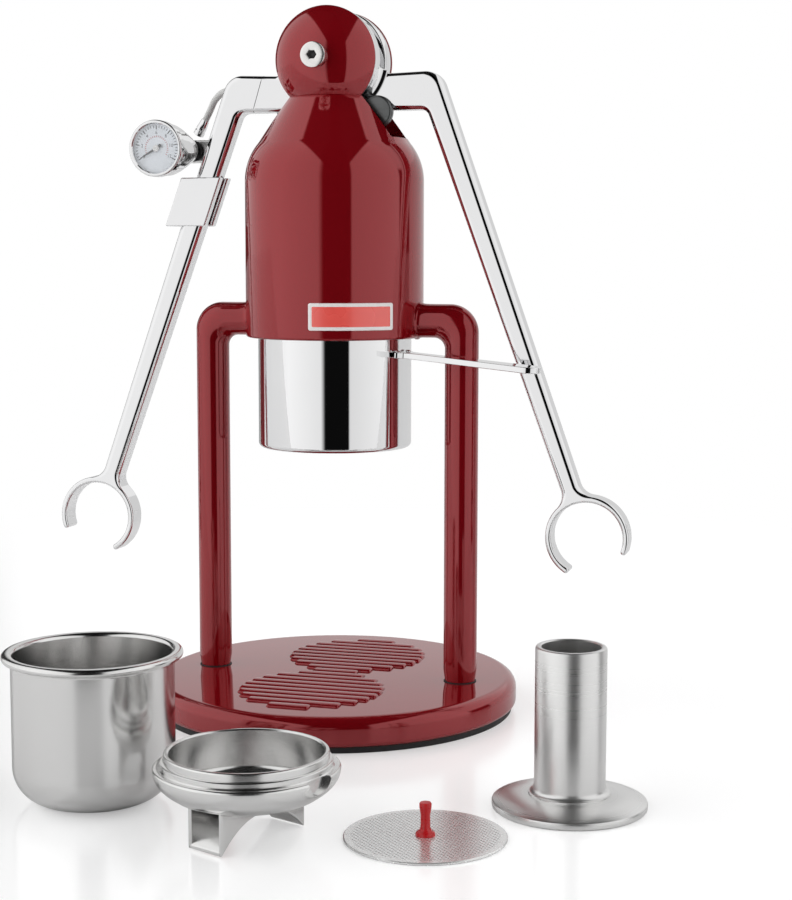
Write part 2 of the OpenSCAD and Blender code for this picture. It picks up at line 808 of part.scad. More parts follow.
module piston_rod() {
    floor_z = cross_z - clevis_floor;
    rod_z = piston_z + piston_h;
    color(steel) difference() {
        union() {
            translate([0, 0, rod_z]) cylinder(d = rod_d, h = floor_z - rod_z);
            translate([0, 0, floor_z - clevis_base]) cylinder(d = flange_d, h = clevis_base);
            translate([-clevis_w / 2, -hub_in - cheek_t, floor_z - clevis_base])
                cube([clevis_w, 2 * (hub_in + cheek_t), clevis_base]);
            for (y = [hub_in, -hub_in - cheek_t]) translate([-clevis_w / 2, y, floor_z - clevis_base])
                cube([clevis_w, cheek_t, clevis_base + clevis_floor + cheek_top]);
        }
        translate([0, 0, cross_z]) y_disc(cross_pin_d / 2 + run_gap, -far, far);
    }
}

module cross_pin() {
    color(steel) translate([0, 0, cross_z]) y_disc(cross_pin_d / 2, -hub_in - cheek_t, hub_in + cheek_t);
}

module piston_head() {
    color(steel) translate([0, 0, piston_z]) difference() {
        cylinder(d = piston_d, h = piston_h);
        translate([0, 0, piston_h / 2 - seal_t / 2]) difference() {
            cylinder(d = piston_d + 2, h = seal_t);
            translate([0, 0, -1]) cylinder(d = piston_d - 2 * seal_t, h = seal_t + 2);
        }
    }
}

module piston_seal() {
    color("#b8402e") translate([0, 0, piston_z + piston_h / 2 - seal_t / 2]) difference() {
        cylinder(d = piston_d + 2 * seal_lip, h = seal_t);
        translate([0, 0, -1]) cylinder(d = piston_d - 2 * seal_t + 2 * run_gap, h = seal_t + 2);
    }
}

// Places a thing on the left arm below the elbow: z runs up the arm, x is towards the machine
module on_left_arm() {
    translate([-elbow_x, 0, axle_z + stub_low]) rotate([0, arm_lean, 0]) children();
}

module arm_clamp() {
    channel = arm_w(clamp_pos - clamp_len / 2) + 2 * run_gap;
    inner = arm_depth + 2 * run_gap;
    out = channel / 2 + clamp_out;
    d = arm_depth + 2 * clamp_wall;
    long = clamp_len + 2 * out;
    level = clamp_len * cos(arm_lean);
    color(chrome) intersection() {
        on_left_arm() translate([0, 0, -clamp_pos - long / 2]) difference() {
            translate([-out, -d / 2, 0]) cube([out + channel / 2 + clamp_wall, d, long]);
            translate([-channel / 2, -inner / 2, -1]) cube([channel, inner, long + 2]);
            translate([0, -clamp_slot / 2, -1]) cube([2 * out, clamp_slot, long + 2]);
        }
        translate([-gauge_x - far / 2, -far / 2, axle_z + stub_low - clamp_pos * cos(arm_lean) - level / 2])
            cube([far, far, level]);
    }
}

module clamp_screws() {
    back = arm_depth / 2 + clamp_wall + bracket_t;
    color(steel) on_left_arm() for (s = [-1, 1])
        translate([-screw_head_d / 2, back, -clamp_pos + s * screw_pitch / 2]) rotate([-90, 0, 0])
            cylinder(d = screw_head_d, h = screw_head_h);
}

module gauge_block() {
    back = arm_depth / 2 + clamp_wall;
    side = arm_w_top / 2 + clamp_out - bracket_inset;
    block_low = (gauge_z - block_h / 2 - axle_z - stub_low) / cos(arm_lean);
    low = min(-clamp_pos - clamp_len / 2, block_low);
    high = max(-clamp_pos + clamp_len / 2, block_low + block_h / 2);
    color(steel) {
        at_gauge() translate([stem_off - block_h / 2, -block_h / 2, -block_front - block_d])
            cube([block_w, block_h, block_d]);
        on_left_arm() translate([-side, back, low]) cube([side, bracket_t, high - low]);
    }
}

// Frame of the gauge: the dial centre is the origin and z points out of the dial
module at_gauge() {
    translate([-gauge_x, gauge_y, gauge_z]) rotate([0, 0, -gauge_turn]) rotate([90, 0, 0]) children();
}

module gauge_case() {
    r = bezel_d / 2 - bezel_skirt - run_gap;
    color(chrome) at_gauge() difference() {
        union() {
            rotate_extrude() polygon([[0, -case_h - cone_h], [back_r, -case_h - cone_h], [r, -case_h],
                [r, -dial_t], [0, -dial_t]]);
            translate([stem_off, 0, -stem_len]) cylinder(d = stem_d, h = stem_len - case_h / 2);
        }
        translate([0, 0, -dial_t - pivot_len]) cylinder(d = pivot_d, h = 2 * pivot_len);
    }
}

module gauge_bezel() {
    r = bezel_d / 2;
    depth = needle_room + lens_t;
    color(chrome) at_gauge() translate([0, 0, -bezel_t]) difference() {
        cylinder(r = r, h = bezel_t + depth);
        translate([0, 0, -1]) cylinder(r = r - bezel_skirt, h = bezel_t + 1);
        cylinder(r = r - bezel_rim, h = far);
    }
}

module gauge_dial() {
    color("#e8edf0") at_gauge() translate([0, 0, -dial_t]) difference() {
        cylinder(r = bezel_d / 2 - bezel_skirt - run_gap, h = dial_t);
        translate([0, 0, -1]) cylinder(d = pivot_d + 2 * run_gap, h = dial_t + 2);
    }
}

module gauge_needle() {
    w = needle_w / 2;
    tip = needle_tip / 2;
    color("#202020") at_gauge() {
        translate([0, 0, needle_rise]) linear_extrude(needle_t) {
            rotate(needle_angle) polygon([[-needle_tail, -w], [0, -w], [needle_len, -tip],
                [needle_len, tip], [0, w], [-needle_tail, w]]);
            circle(d = needle_hub_d);
        }
        translate([0, 0, -pivot_len]) cylinder(d = pivot_d - 2 * run_gap, h = pivot_len + needle_rise);
    }
}

module gauge_lens() {
    color("#dfe9ee", 0.3) at_gauge() translate([0, 0, needle_room])
        cylinder(r = bezel_d / 2 - bezel_rim - run_gap, h = lens_t);
}

module stem_oring() {
    color(rubber) at_gauge() translate([stem_off, 0, -block_front]) cylinder(d = oring_d, h = oring_t);
}

// Rings of a round tube swept along points, with its frame kept level
function unit(v) = v / norm(v);
function course(p, i) = unit(p[min(i + 1, len(p) - 1)] - p[max(i - 1, 0)]);
function ring(p, i, d, n) = let (t = course(p, i), u = unit(cross(t, [0, 1, 0])), w = cross(u, t))
    [for (k = [0 : n - 1]) p[i] + d / 2 * (cos(360 * k / n) * u + sin(360 * k / n) * w)];

module swept_tube(p, d, n) {
    m = len(p);
    sides = [for (i = [0 : m - 2], k = [0 : n - 1]) let (a = i * n + k, b = i * n + (k + 1) % n)
        each [[a, a + n, b + n], [a, b + n, b]]];
    caps = [for (k = [1 : n - 2]) each [[0, k, k + 1], [(m - 1) * n, (m - 1) * n + k + 1, (m - 1) * n + k]]];
    polyhedron([for (i = [0 : m - 1]) each ring(p, i, d, n)], concat(sides, caps));
}

module gauge_hose() {
    color("#c9cbc9") swept_tube(hose_points, hose_d, hose_sides);
}

// A ferrule closes each end of the hose
module ferrule(p, t) {
    translate(p) rotate([0, acos(t[2]), atan2(t[1], t[0])]) cylinder(d = ferrule_d, h = ferrule_len);
}

module hose_ferrules() {
    last = len(hose_points) - 1;
    color(chrome) {
        ferrule(hose_points[0] - ferrule_len * hose_start, hose_start);
        ferrule(hose_points[last], hose_end);
    }
}

module filter_basket() {
    r = basket_bore / 2;
    w = basket_wall;
    c = basket_corner;
    t = basket_rim_t;
    rim = basket_rim_d / 2 - t / 2;
    color(steel) translate([basket_x, basket_y, 0]) rotate_extrude() polygon(concat(
        [[0, 0]], arc(r + w - c, c, c, -90, 0, 8), [[r + w, basket_h - t], [rim, basket_h - t]],
        arc(rim, basket_h - t / 2, t / 2, -90, 90, 8), [[r, basket_h]],
        arc(r + w - c, c, c - w, 0, -90, 8), [[0, w]]));
}

// Outline of the round underside of the portafilter, from its hub out to a radius
function pf_curve(hub, r, z) = [for (a = [0 : 15 : 90]) [hub + (r - hub) * sin(a), z + pf_dome * (1 - cos(a))]];

module portafilter_bowl() {
    r = pf_d / 2;
    neck = r - pf_step_w;
    bore = neck - pf_wall;
    low = pf_h - pf_bowl;
    hub = spout_w / 2 + spout_wall;
    ring_z = pf_h - 2 * pf_step;
    color(steel) translate([pf_x, pf_y, 0]) difference() {
        rotate_extrude() polygon(concat([[0, low]], pf_curve(hub, pf_skirt_d / 2, low),
            [[r, ring_z], [r, pf_h - pf_step], [neck, pf_h - pf_step], [neck, pf_h], [0, pf_h]]));
        rotate_extrude() polygon(concat([[0, low + pf_wall]], pf_curve(hub, bore, low + pf_wall),
            [[bore, pf_h + 1], [0, pf_h + 1]]));
        translate([0, 0, low - 1]) cylinder(d = drain_d, h = pf_wall + 2);
    }
}

module portafilter_spout() {
    top = pf_h - pf_bowl;
    w = spout_w + 2 * spout_wall;
    half = (spout_span + spout_w) / 2;
    mouth = (spout_span - spout_w) / 2;
    arch = mouth - spout_wall;
    color(steel) translate([pf_x, pf_y, 0]) rotate([0, 0, pf_turn]) difference() {
        translate([-half, -w / 2, 0]) cube([2 * half, w, top]);
        translate([-arch, -w, -1]) cube([2 * arch, 2 * w, arch_h + 1]);
        for (s = [-1, 1]) translate([s > 0 ? mouth : -half - 1, -spout_w / 2, -1])
            cube([spout_w + 1, spout_w, top - spout_wall + 1]);
        cylinder(d = drain_d, h = far, center = true);
    }
}

module dispersion_screen() {
    color(steel) translate([screen_x, screen_y, 0]) difference() {
        cylinder(d = screen_d, h = screen_t);
        translate([0, 0, -1]) cylinder(d = grip_pin_d + 2 * run_gap, h = screen_t + 2);
    }
}

module screen_grip() {
    color("#c8141c") translate([screen_x, screen_y, 0]) {
        cylinder(d = grip_pin_d, h = screen_t + grip_foot_h);
        translate([0, 0, screen_t]) cylinder(d = grip_foot_d, h = grip_foot_h);
        translate([0, 0, screen_t]) cylinder(d = grip_d, h = grip_h);
    }
}

module tamper_plate() {
    r = tamper_d / 2;
    e = edge_break;
    top = tamper_edge + tamper_cone;
    color(steel) translate([tamper_x, tamper_y, 0]) rotate_extrude() polygon([[0, 0], [r - e, 0], [r, e],
        [r, tamper_edge - e], [r - e, tamper_edge], [tube_d / 2 + foot_ring, top], [0, top]]);
}

module tamper_tube() {
    r = tube_d / 2;
    e = edge_break;
    z0 = tamper_edge + tamper_cone;
    top = tamper_h - z0;
    color(steel) translate([tamper_x, tamper_y, z0]) rotate_extrude() polygon(concat([[r - tube_wall, 0]],
        [[r + foot_ring, 0], [r + foot_ring, foot_ring_h - foot_ring]],
        arc(r + foot_ring, foot_ring_h, foot_ring, 270, 180, 6),
        [[r, top - e], [r - e, top], [r - tube_wall, top]]));
}

base_plate();
base_mat();
grille_ribs();
left_leg();
right_leg();
leg_gaskets();
leg_bolts();
body_shell();
name_plate();
name_plate_border();
rod_guide();
rod_bush();
axle();
axle_cap();
axle_nut();
group_sleeve();
handle_strip();
handle_rivets();
right_arm();
right_crank_pin();
left_arm();
left_crank_pin();
right_link();
left_link();
piston_rod();
cross_pin();
piston_head();
piston_seal();
arm_clamp();
clamp_screws();
gauge_block();
gauge_case();
gauge_bezel();
gauge_dial();
gauge_needle();
gauge_lens();
stem_oring();
gauge_hose();
hose_ferrules();
filter_basket();
portafilter_bowl();
portafilter_spout();
dispersion_screen();
screen_grip();
tamper_plate();
tamper_tube();
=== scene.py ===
"""Dressed model of a manual lever espresso maker and its loose brewing parts.

Lengths in the classes are millimetres in the frame of the part: the origin is the centre of the
base underside, +Z is up and the front is -Y. A mesh is turned into metres when it is made.
"""

import logging
import math
from dataclasses import dataclass, field
from enum import Enum
from typing import Iterable, Sequence

import bmesh
import bpy
import numpy as np
from mathutils import Matrix


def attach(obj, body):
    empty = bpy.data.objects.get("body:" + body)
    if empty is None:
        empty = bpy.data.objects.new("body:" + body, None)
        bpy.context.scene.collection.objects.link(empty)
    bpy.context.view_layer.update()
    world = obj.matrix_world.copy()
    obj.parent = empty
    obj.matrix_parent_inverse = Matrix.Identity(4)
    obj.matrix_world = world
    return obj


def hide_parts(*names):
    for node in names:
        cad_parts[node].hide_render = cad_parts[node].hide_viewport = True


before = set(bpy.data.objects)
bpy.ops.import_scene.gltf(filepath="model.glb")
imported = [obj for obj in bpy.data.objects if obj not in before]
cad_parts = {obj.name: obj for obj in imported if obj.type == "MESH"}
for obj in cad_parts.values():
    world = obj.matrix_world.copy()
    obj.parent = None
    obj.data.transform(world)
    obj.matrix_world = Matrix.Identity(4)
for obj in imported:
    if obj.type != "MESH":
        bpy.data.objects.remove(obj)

LOG = logging.getLogger("espresso_maker")
MM = 0.001
AXLE_Z = 288.0
WHITE = (1.0, 1.0, 1.0, 1.0)
Socket = bpy.types.NodeSocket
Pair = tuple[float, float]
Triple = tuple[float, float, float]


class Rides(str, Enum):
    """Bodies of the frame that pieces ride on."""

    FRAME = "frame"
    SLEEVE = "sleeve"
    RIGHT_ARM = "right_arm"
    LEFT_ARM = "left_arm"
    NEEDLE = "gauge_needle"
    BASKET = "basket"
    PORTAFILTER = "portafilter"
    SCREEN = "screen"
    TAMPER = "tamper"


class Side(float, Enum):
    """The two sides of the machine, as signs of X."""

    LEFT = -1.0
    RIGHT = 1.0

    @property
    def turn(self) -> np.ndarray:
        """Turn about Z that carries a piece of the right side to this side."""
        return turn_z(90 - 90 * self.value)


class Cut(str, Enum):
    """Ways to combine one solid with another."""

    ADD = "UNION"
    TAKE = "DIFFERENCE"


def turn_x(degrees: float) -> np.ndarray:
    """Rotation matrix about X."""
    c, s = math.cos(math.radians(degrees)), math.sin(math.radians(degrees))
    return np.array([[1, 0, 0], [0, c, -s], [0, s, c]])


def turn_y(degrees: float) -> np.ndarray:
    """Rotation matrix about Y."""
    return np.roll(turn_x(degrees), 1, (0, 1))


def turn_z(degrees: float) -> np.ndarray:
    """Rotation matrix about Z."""
    return np.roll(turn_x(degrees), 2, (0, 1))


FACING_FRONT = turn_x(90)


@dataclass
class Shell:
    """A surface in millimetres: its points and the faces between them."""

    points: np.ndarray
    faces: list

    def placed(self, origin: Sequence[float] = (0, 0, 0), turn: np.ndarray = np.eye(3)) -> "Shell":
        """The shell turned by a matrix, and then moved so that its own origin goes to the given one."""
        return Shell(self.points @ np.asarray(turn).T + np.asarray(origin, float), self.faces)


def joined(shells: Iterable[Shell]) -> Shell:
    """Several shells as one."""
    points, faces, start = [], [], 0
    for shell in shells:
        points.append(shell.points)
        faces += [[start + k for k in f] for f in shell.faces]
        start += len(shell.points)
    return Shell(np.concatenate(points), faces)


def grid(points: np.ndarray, wrap_rows: bool = False, wrap_columns: bool = False) -> Shell:
    """A surface over a grid of points, one quad for each cell.

    Args:
        points: Array of rows, columns and three coordinates.
        wrap_rows: The last row joins the first.
        wrap_columns: The last column joins the first.

    Returns:
        The shell.
    """
    n, m = points.shape[:2]
    i = np.arange(n if wrap_rows else n - 1)[:, None]
    j = np.arange(m if wrap_columns else m - 1)[None, :]
    up, right = (i + 1) % n, (j + 1) % m
    corners = np.broadcast_arrays(i * m + j, i * m + right, up * m + right, up * m + j)
    return Shell(points.reshape(-1, 3), np.stack(corners, -1).reshape(-1, 4).tolist())


def capped(rings: np.ndarray) -> Shell:
    """A surface over rings of points, with a face across the first ring and the last."""
    shell = grid(rings, wrap_columns=True)
    count, sides = rings.shape[:2]
    last = (count - 1) * sides
    shell.faces += [list(range(sides)), list(range(last, last + sides))[::-1]]
    return shell


def angles(count: int) -> np.ndarray:
    """Angles of one full turn in equal steps."""
    return np.linspace(0, 2 * np.pi, count, endpoint=False)


def polar(r: np.ndarray, a: np.ndarray, z: np.ndarray) -> np.ndarray:
    """Points (r cos a, r sin a, z)."""
    return np.stack(np.broadcast_arrays(r * np.cos(a), r * np.sin(a), z), -1)


def arc(cx: float, cy: float, r: float, start: float, end: float, steps: int = 12) -> np.ndarray:
    """Points of a circular arc: centre plus r (cos a, sin a), a in degrees from start to end."""
    a = np.radians(np.linspace(start, end, steps + 1))
    return np.column_stack([cx + r * np.cos(a), cy + r * np.sin(a)])


def lathe(*profile: Sequence, closed: bool = False, segments: int = 160) -> Shell:
    """Surface of revolution about Z.

    Args:
        profile: Runs of points with radius and height, from below to above on the outside.
        closed: The profile is a loop, as for a tube.
        segments: Steps of the turn.

    Returns:
        The shell.
    """
    p = np.concatenate([np.asarray(run, float) for run in profile])
    return grid(polar(p[:, :1], angles(segments), p[:, 1:]), wrap_rows=closed, wrap_columns=True)


def prism(outline: np.ndarray, low: float, high: float) -> Shell:
    """A closed flat outline carried along Z from low to high."""
    return capped(np.stack([np.column_stack([outline, np.full(len(outline), h)]) for h in (low, high)]))


def block(low: Sequence[float], high: Sequence[float]) -> Shell:
    """A box between two corners, as a square outline carried upwards."""
    (x0, y0, z0), (x1, y1, z1) = low, high
    return prism(np.array([[x0, y0], [x1, y0], [x1, y1], [x0, y1]], float), z0, z1)


def pillow(outline: np.ndarray, half: float, radius: np.ndarray, steps: int = 7, band: float = 0.06) -> Shell:
    """A flat outline carried along Z from -half to half, with its edges rounded.

    Each ring of points is the outline drawn in by r (1 - sin a) at the height half - r (1 - cos a),
    with a from 0 to 90 degrees. Narrow bands beside the rounding keep the faces flat.

    Args:
        outline: Points of a closed outline in X and Y.
        half: Half of the depth.
        radius: Radius of the rounding at each point.
        steps: Pieces of the rounding.
        band: Width of the narrow bands.

    Returns:
        The shell.
    """
    ways = (outline - np.roll(outline, 1, 0), np.roll(outline, -1, 0) - outline)
    sides = [np.column_stack([-d[:, 1], d[:, 0]]) / np.linalg.norm(d, axis=1, keepdims=True) for d in ways]
    inward = sides[0] + sides[1]
    inward /= np.linalg.norm(inward, axis=1, keepdims=True)
    inward /= np.clip((inward * sides[0]).sum(1, keepdims=True), 0.5, 1)
    x, y = outline.T
    turn = np.sign((x * np.roll(y, -1) - np.roll(x, -1) * y).sum())
    a = np.radians(np.linspace(0, 90, steps + 1))[:, None]
    draw, rise = radius * (1 - np.sin(a)), half - radius * (1 - np.cos(a))
    draw = np.concatenate([draw[:1] + band, draw, draw[-1:]])
    rise = np.concatenate([rise[:1], rise, rise[-1:] - band])
    draw, rise = np.concatenate([draw, draw[::-1]]), np.concatenate([rise, -rise[::-1]])
    return capped(np.concatenate([outline + turn * draw[..., None] * inward, rise[..., None]], -1))


def pipe(path: np.ndarray, radii: np.ndarray, sides: int) -> Shell:
    """A round profile carried along a path that never runs along Y.

    The ring at each point lies across the path's direction t, on u = t x Y and w = u x t.

    Args:
        path: Points of the path.
        radii: Radius at each point.
        sides: Points of each ring.

    Returns:
        The shell.
    """
    t = np.gradient(path, axis=0)
    t /= np.linalg.norm(t, axis=1, keepdims=True)
    u = np.cross(t, [0.0, 1.0, 0.0])
    u /= np.linalg.norm(u, axis=1, keepdims=True)
    w = np.cross(u, t)
    a = angles(sides)[None, :, None]
    return capped(path[:, None] + radii[:, None, None] * (np.cos(a) * u[:, None] + np.sin(a) * w[:, None]))


def rounded(corner: np.ndarray, before: np.ndarray, after: np.ndarray, r: float, steps: int) -> np.ndarray:
    """A corner replaced by an arc that touches both of its sides.

    Args:
        corner: The corner point.
        before: A point on the side that arrives.
        after: A point on the side that leaves.
        r: Radius of the arc.
        steps: Pieces of the arc.

    Returns:
        Points of the arc, in the order of the outline.
    """
    a = (before - corner) / np.linalg.norm(before - corner)
    b = (after - corner) / np.linalg.norm(after - corner)
    half = math.acos(float(np.clip(a @ b, -1, 1))) / 2
    middle = (a + b) / np.linalg.norm(a + b)
    centre = corner + middle * r / math.sin(half)
    first, last = (corner + side * r / math.tan(half) - centre for side in (a, b))
    t = np.linspace(0, 1, steps + 1)[:, None]
    angle = math.acos(float(np.clip(first @ last / r**2, -1, 1)))
    return centre + (np.sin((1 - t) * angle) * first + np.sin(t * angle) * last) / math.sin(angle)


def smooth_path(points: Sequence, steps: int = 8) -> np.ndarray:
    """A smooth path through points, each span a cubic with the slopes of its neighbours.

    Args:
        points: Points to pass through.
        steps: Points for each span.

    Returns:
        Points of the path.
    """
    p = np.asarray(points, float)
    m = np.gradient(p, axis=0)
    t = np.linspace(0, 1, steps, endpoint=False)[None, :, None]
    spans = (2 * t**3 - 3 * t**2 + 1) * p[:-1, None] + (t**3 - 2 * t**2 + t) * m[:-1, None]
    spans = spans + (3 * t**2 - 2 * t**3) * p[1:, None] + (t**3 - t**2) * m[1:, None]
    return np.concatenate([spans.reshape(-1, 3), p[-1:]])


def mesh_of(name: str, shell: Shell) -> bpy.types.Mesh:
    """A Blender mesh of a shell in metres, with its seams and poles closed and its faces outwards."""
    mesh = bpy.data.meshes.new(name)
    mesh.from_pydata((shell.points * MM).tolist(), [], shell.faces)
    edit = bmesh.new()
    edit.from_mesh(mesh)
    bmesh.ops.remove_doubles(edit, verts=edit.verts, dist=1e-6)
    bmesh.ops.recalc_face_normals(edit, faces=edit.faces)
    edit.to_mesh(mesh)
    edit.free()
    return mesh


def shown(name: str, data: bpy.types.ID) -> bpy.types.Object:
    """A new object of the scene."""
    obj = bpy.data.objects.new(name, data)
    bpy.context.scene.collection.objects.link(obj)
    return obj


def evaluated(obj: bpy.types.Object) -> bpy.types.Mesh:
    """The mesh that an object shows."""
    bpy.context.view_layer.update()
    return bpy.data.meshes.new_from_object(obj.evaluated_get(bpy.context.evaluated_depsgraph_get()))


def combined(name: str, shell: Shell, steps: Sequence[tuple[Cut, Shell]]) -> bpy.types.Mesh:
    """A mesh of one closed shell with others added to it or taken from it.

    Args:
        name: Name of the mesh.
        shell: The first shell.
        steps: What is done with each further shell, in order.

    Returns:
        The mesh of the result.
    """
    shells = [shell] + [s for _, s in steps]
    made = [shown(f"{name}.{k}", mesh_of(name, s)) for k, s in enumerate(shells)]
    for tool, (cut, _) in zip(made[1:], steps):
        step = made[0].modifiers.new(tool.name, "BOOLEAN")
        step.operation, step.object, step.solver = cut.value, tool, "EXACT"
    mesh = evaluated(made[0])
    mesh.name = name
    for obj in made:
        bpy.data.objects.remove(obj)
    return mesh


def add_piece(name: str, shape: Shell | bpy.types.Mesh, finish: "Finish", rides: Rides, *replaces: str,
              sharp: float = 32.0, bevel: float = 0.0, bevel_steps: int = 3) -> None:
    """Makes a piece of the scene and lets it ride on a body of the frame.

    Args:
        name: Name of the piece.
        shape: Its shell in millimetres, or its mesh in metres.
        finish: What it is made of.
        rides: The body that carries it.
        replaces: Nodes of the frame that it stands for.
        sharp: Angle in degrees above which an edge stays sharp.
        bevel: Width in millimetres of the rounding of its edges.
        bevel_steps: Pieces of that rounding.
    """
    mesh = mesh_of(name, shape) if isinstance(shape, Shell) else shape
    mesh.polygons.foreach_set("use_smooth", np.ones(len(mesh.polygons), bool))
    mesh.set_sharp_from_angle(angle=math.radians(sharp))
    mesh.materials.clear()
    mesh.materials.append(finish.material())
    obj = shown(name, mesh)
    if bevel:
        step = obj.modifiers.new("edges", "BEVEL")
        step.width, step.segments, step.limit_method = bevel * MM, bevel_steps, "ANGLE"
        step.angle_limit, step.harden_normals = math.radians(sharp), True
    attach(obj, rides.value)
    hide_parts(*replaces)
    LOG.info("%s rides on %s, %d faces", name, rides.value, len(mesh.polygons))


@dataclass(frozen=True)
class Grain:
    """Noise for one use: its scale per metre, its detail and the two ends of what it drives."""

    scale: float
    detail: float
    low: float
    high: float


Grains = tuple[Grain, Grain, Grain]


class Nodes:
    """Short hand for a node tree."""

    def __init__(self, tree: bpy.types.NodeTree) -> None:
        """Takes over a tree and empties it."""
        self.tree = tree
        tree.nodes.clear()

    def add(self, kind: str, inputs: dict | None = None, **values: object) -> bpy.types.Node:
        """Adds a node.

        Args:
            kind: Type of the node, without the words that every type starts with.
            inputs: What goes into its inputs, by their names or numbers.
            values: Properties of the node.

        Returns:
            The node.
        """
        node = self.tree.nodes.new(f"ShaderNode{kind}")
        for key, value in values.items():
            setattr(node, key, value)
        self.feed(node, inputs or {})
        return node

    def feed(self, node: bpy.types.Node, inputs: dict) -> None:
        """Links sockets to the inputs of a node, and sets numbers and colours on them."""
        for key, value in inputs.items():
            if isinstance(value, Socket):
                self.tree.links.new(value, node.inputs[key])
            else:
                node.inputs[key].default_value = value

    def math(self, operation: str, first: object, second: object = 0.0) -> Socket:
        """A math node on two sockets or numbers."""
        return self.add("Math", {0: first, 1: second}, operation=operation).outputs[0]

    def length(self, x: Socket, y: Socket) -> Socket:
        """The length of a line with the parts x and y."""
        squares = [self.math("MULTIPLY", c, c) for c in (x, y)]
        return self.math("SQRT", self.math("ADD", *squares))

    def split(self, vector: Socket) -> Iterable[Socket]:
        """The three parts of a vector."""
        return self.add("SeparateXYZ", {0: vector}).outputs

    def spread(self, value: Socket, low: float, high: float,
               start: float = 0.3, end: float = 0.7) -> Socket:
        """A value from start to end carried over to low to high."""
        ends = {"From Min": start, "From Max": end, "To Min": low, "To Max": high}
        return self.add("MapRange", {"Value": value, **ends}).outputs[0]


class Sketch(Nodes):
    """The node tree of one material."""

    def __init__(self, name: str) -> None:
        """Starts a material with a principled shader and its output."""
        self.made = bpy.data.materials.new(name)
        self.made.use_nodes = True
        super().__init__(self.made.node_tree)
        self.shader = self.add("BsdfPrincipled")
        self.out = self.add("OutputMaterial", {0: self.shader.outputs[0]})

    def place(self, centre: Sequence[float] = (0, 0, 0), spin: float = 0.0) -> Socket:
        """Object coordinates in metres from a centre in millimetres, turned about Z by a spin in degrees."""
        source = self.add("TexCoord").outputs["Object"]
        shift = self.add("VectorMath", {0: source, 1: [c * MM for c in centre]}, operation="SUBTRACT")
        turn = {"Vector": shift.outputs[0], "Rotation": (0.0, 0.0, math.radians(spin))}
        return self.add("VectorRotate", turn, rotation_type="EULER_XYZ").outputs[0]

    def noise(self, where: Socket, grain: Grain) -> Socket:
        """Noise of a grain, from 0 to 1."""
        inputs = {"Vector": where, "Scale": grain.scale, "Detail": grain.detail}
        return self.add("TexNoise", inputs).outputs["Fac"]

    def tint(self, factor: Socket, low: Sequence[float], high: Sequence[float]) -> None:
        """Lets the base colour run from one linear colour to another."""
        mix = self.add("Mix", {0: factor, 6: (*low, 1), 7: (*high, 1)}, data_type="RGBA")
        self.feed(self.shader, {"Base Color": mix.outputs[2]})

    def rough(self, factor: Socket, low: float, high: float) -> None:
        """Lets the roughness run from low to high."""
        self.feed(self.shader, {"Roughness": self.spread(factor, low, high)})

    def bump(self, height: Socket, strength: float, distance: float) -> None:
        """Lets a height in the range 0 to 1 raise the surface by a distance in millimetres."""
        inputs = {"Strength": strength, "Distance": distance * MM, "Height": height}
        self.feed(self.shader, {"Normal": self.add("Bump", inputs).outputs[0]})


def shade(colour: Sequence[float], share: float) -> list[float]:
    """A colour made lighter or darker by a share."""
    return [min(1.0, c * share) for c in colour]


@dataclass(frozen=True)
class Finish:
    """A finish with its colour and gloss, and faint mottling. Subclasses change its texture."""

    name: str
    colour: Triple
    roughness: float
    slot: str = ""

    def material(self) -> bpy.types.Material:
        """The material of this finish, made once."""
        return bpy.data.materials.get(self.name) or self.draw(Sketch(self.name)).made

    def grains(self) -> Grains:
        """Noise for the tone, the gloss and the relief; the relief's ends are its strength and height."""
        return Grain(60.0, 2.0, 0.9, 1.06), Grain(900.0, 4.0, 0.85, 1.15), Grain(900.0, 4.0, 0.06, 0.08)

    def shine(self) -> dict[str, float]:
        """Further inputs of the shader."""
        return {}

    def pattern(self, sketch: Sketch) -> Socket:
        """The coordinates that the noise depends on."""
        return sketch.place()

    def draw(self, sketch: Sketch) -> Sketch:
        """Draws the texture into an empty material.

        Args:
            sketch: The empty material.

        Returns:
            The same sketch.
        """
        where = self.pattern(sketch)
        tone, gloss, relief = self.grains()
        sketch.tint(sketch.noise(where, tone), shade(self.colour, tone.low), shade(self.colour, tone.high))
        sketch.rough(sketch.noise(where, gloss), self.roughness * gloss.low, self.roughness * gloss.high)
        sketch.bump(sketch.noise(where, relief), relief.low, relief.high)
        sketch.feed(sketch.shader, self.shine())
        return sketch


@dataclass(frozen=True)
class Paint(Finish):
    """Deep gloss lacquer with a faint orange peel under a clear coat."""

    peel: float = 0.05
    flake: float = 0.0

    def grains(self) -> Grains:
        """Broad clouds of tone and haze, and the orange peel."""
        return Grain(18.0, 2.0, 0.95, 1.04), Grain(40.0, 3.0, 0.8, 1.2), Grain(260.0, 1.0, self.peel, 0.05)

    def shine(self) -> dict[str, float]:
        """Metal flake under a clear coat."""
        coat = {"Coat Weight": 0.3, "Coat Roughness": 0.02, "Specular IOR Level": 0.85}
        return {"Metallic": self.flake, **coat}


@dataclass(frozen=True)
class Chrome(Finish):
    """Mirror plate with the faintest wipe marks."""

    def grains(self) -> Grains:
        """Wipe marks in tone and gloss, and a faint waviness."""
        return Grain(70.0, 5.0, 0.98, 1.01), Grain(70.0, 5.0, 0.6, 1.5), Grain(120.0, 1.0, 0.012, 0.05)

    def shine(self) -> dict[str, float]:
        """Bare metal."""
        return {"Metallic": 1.0}


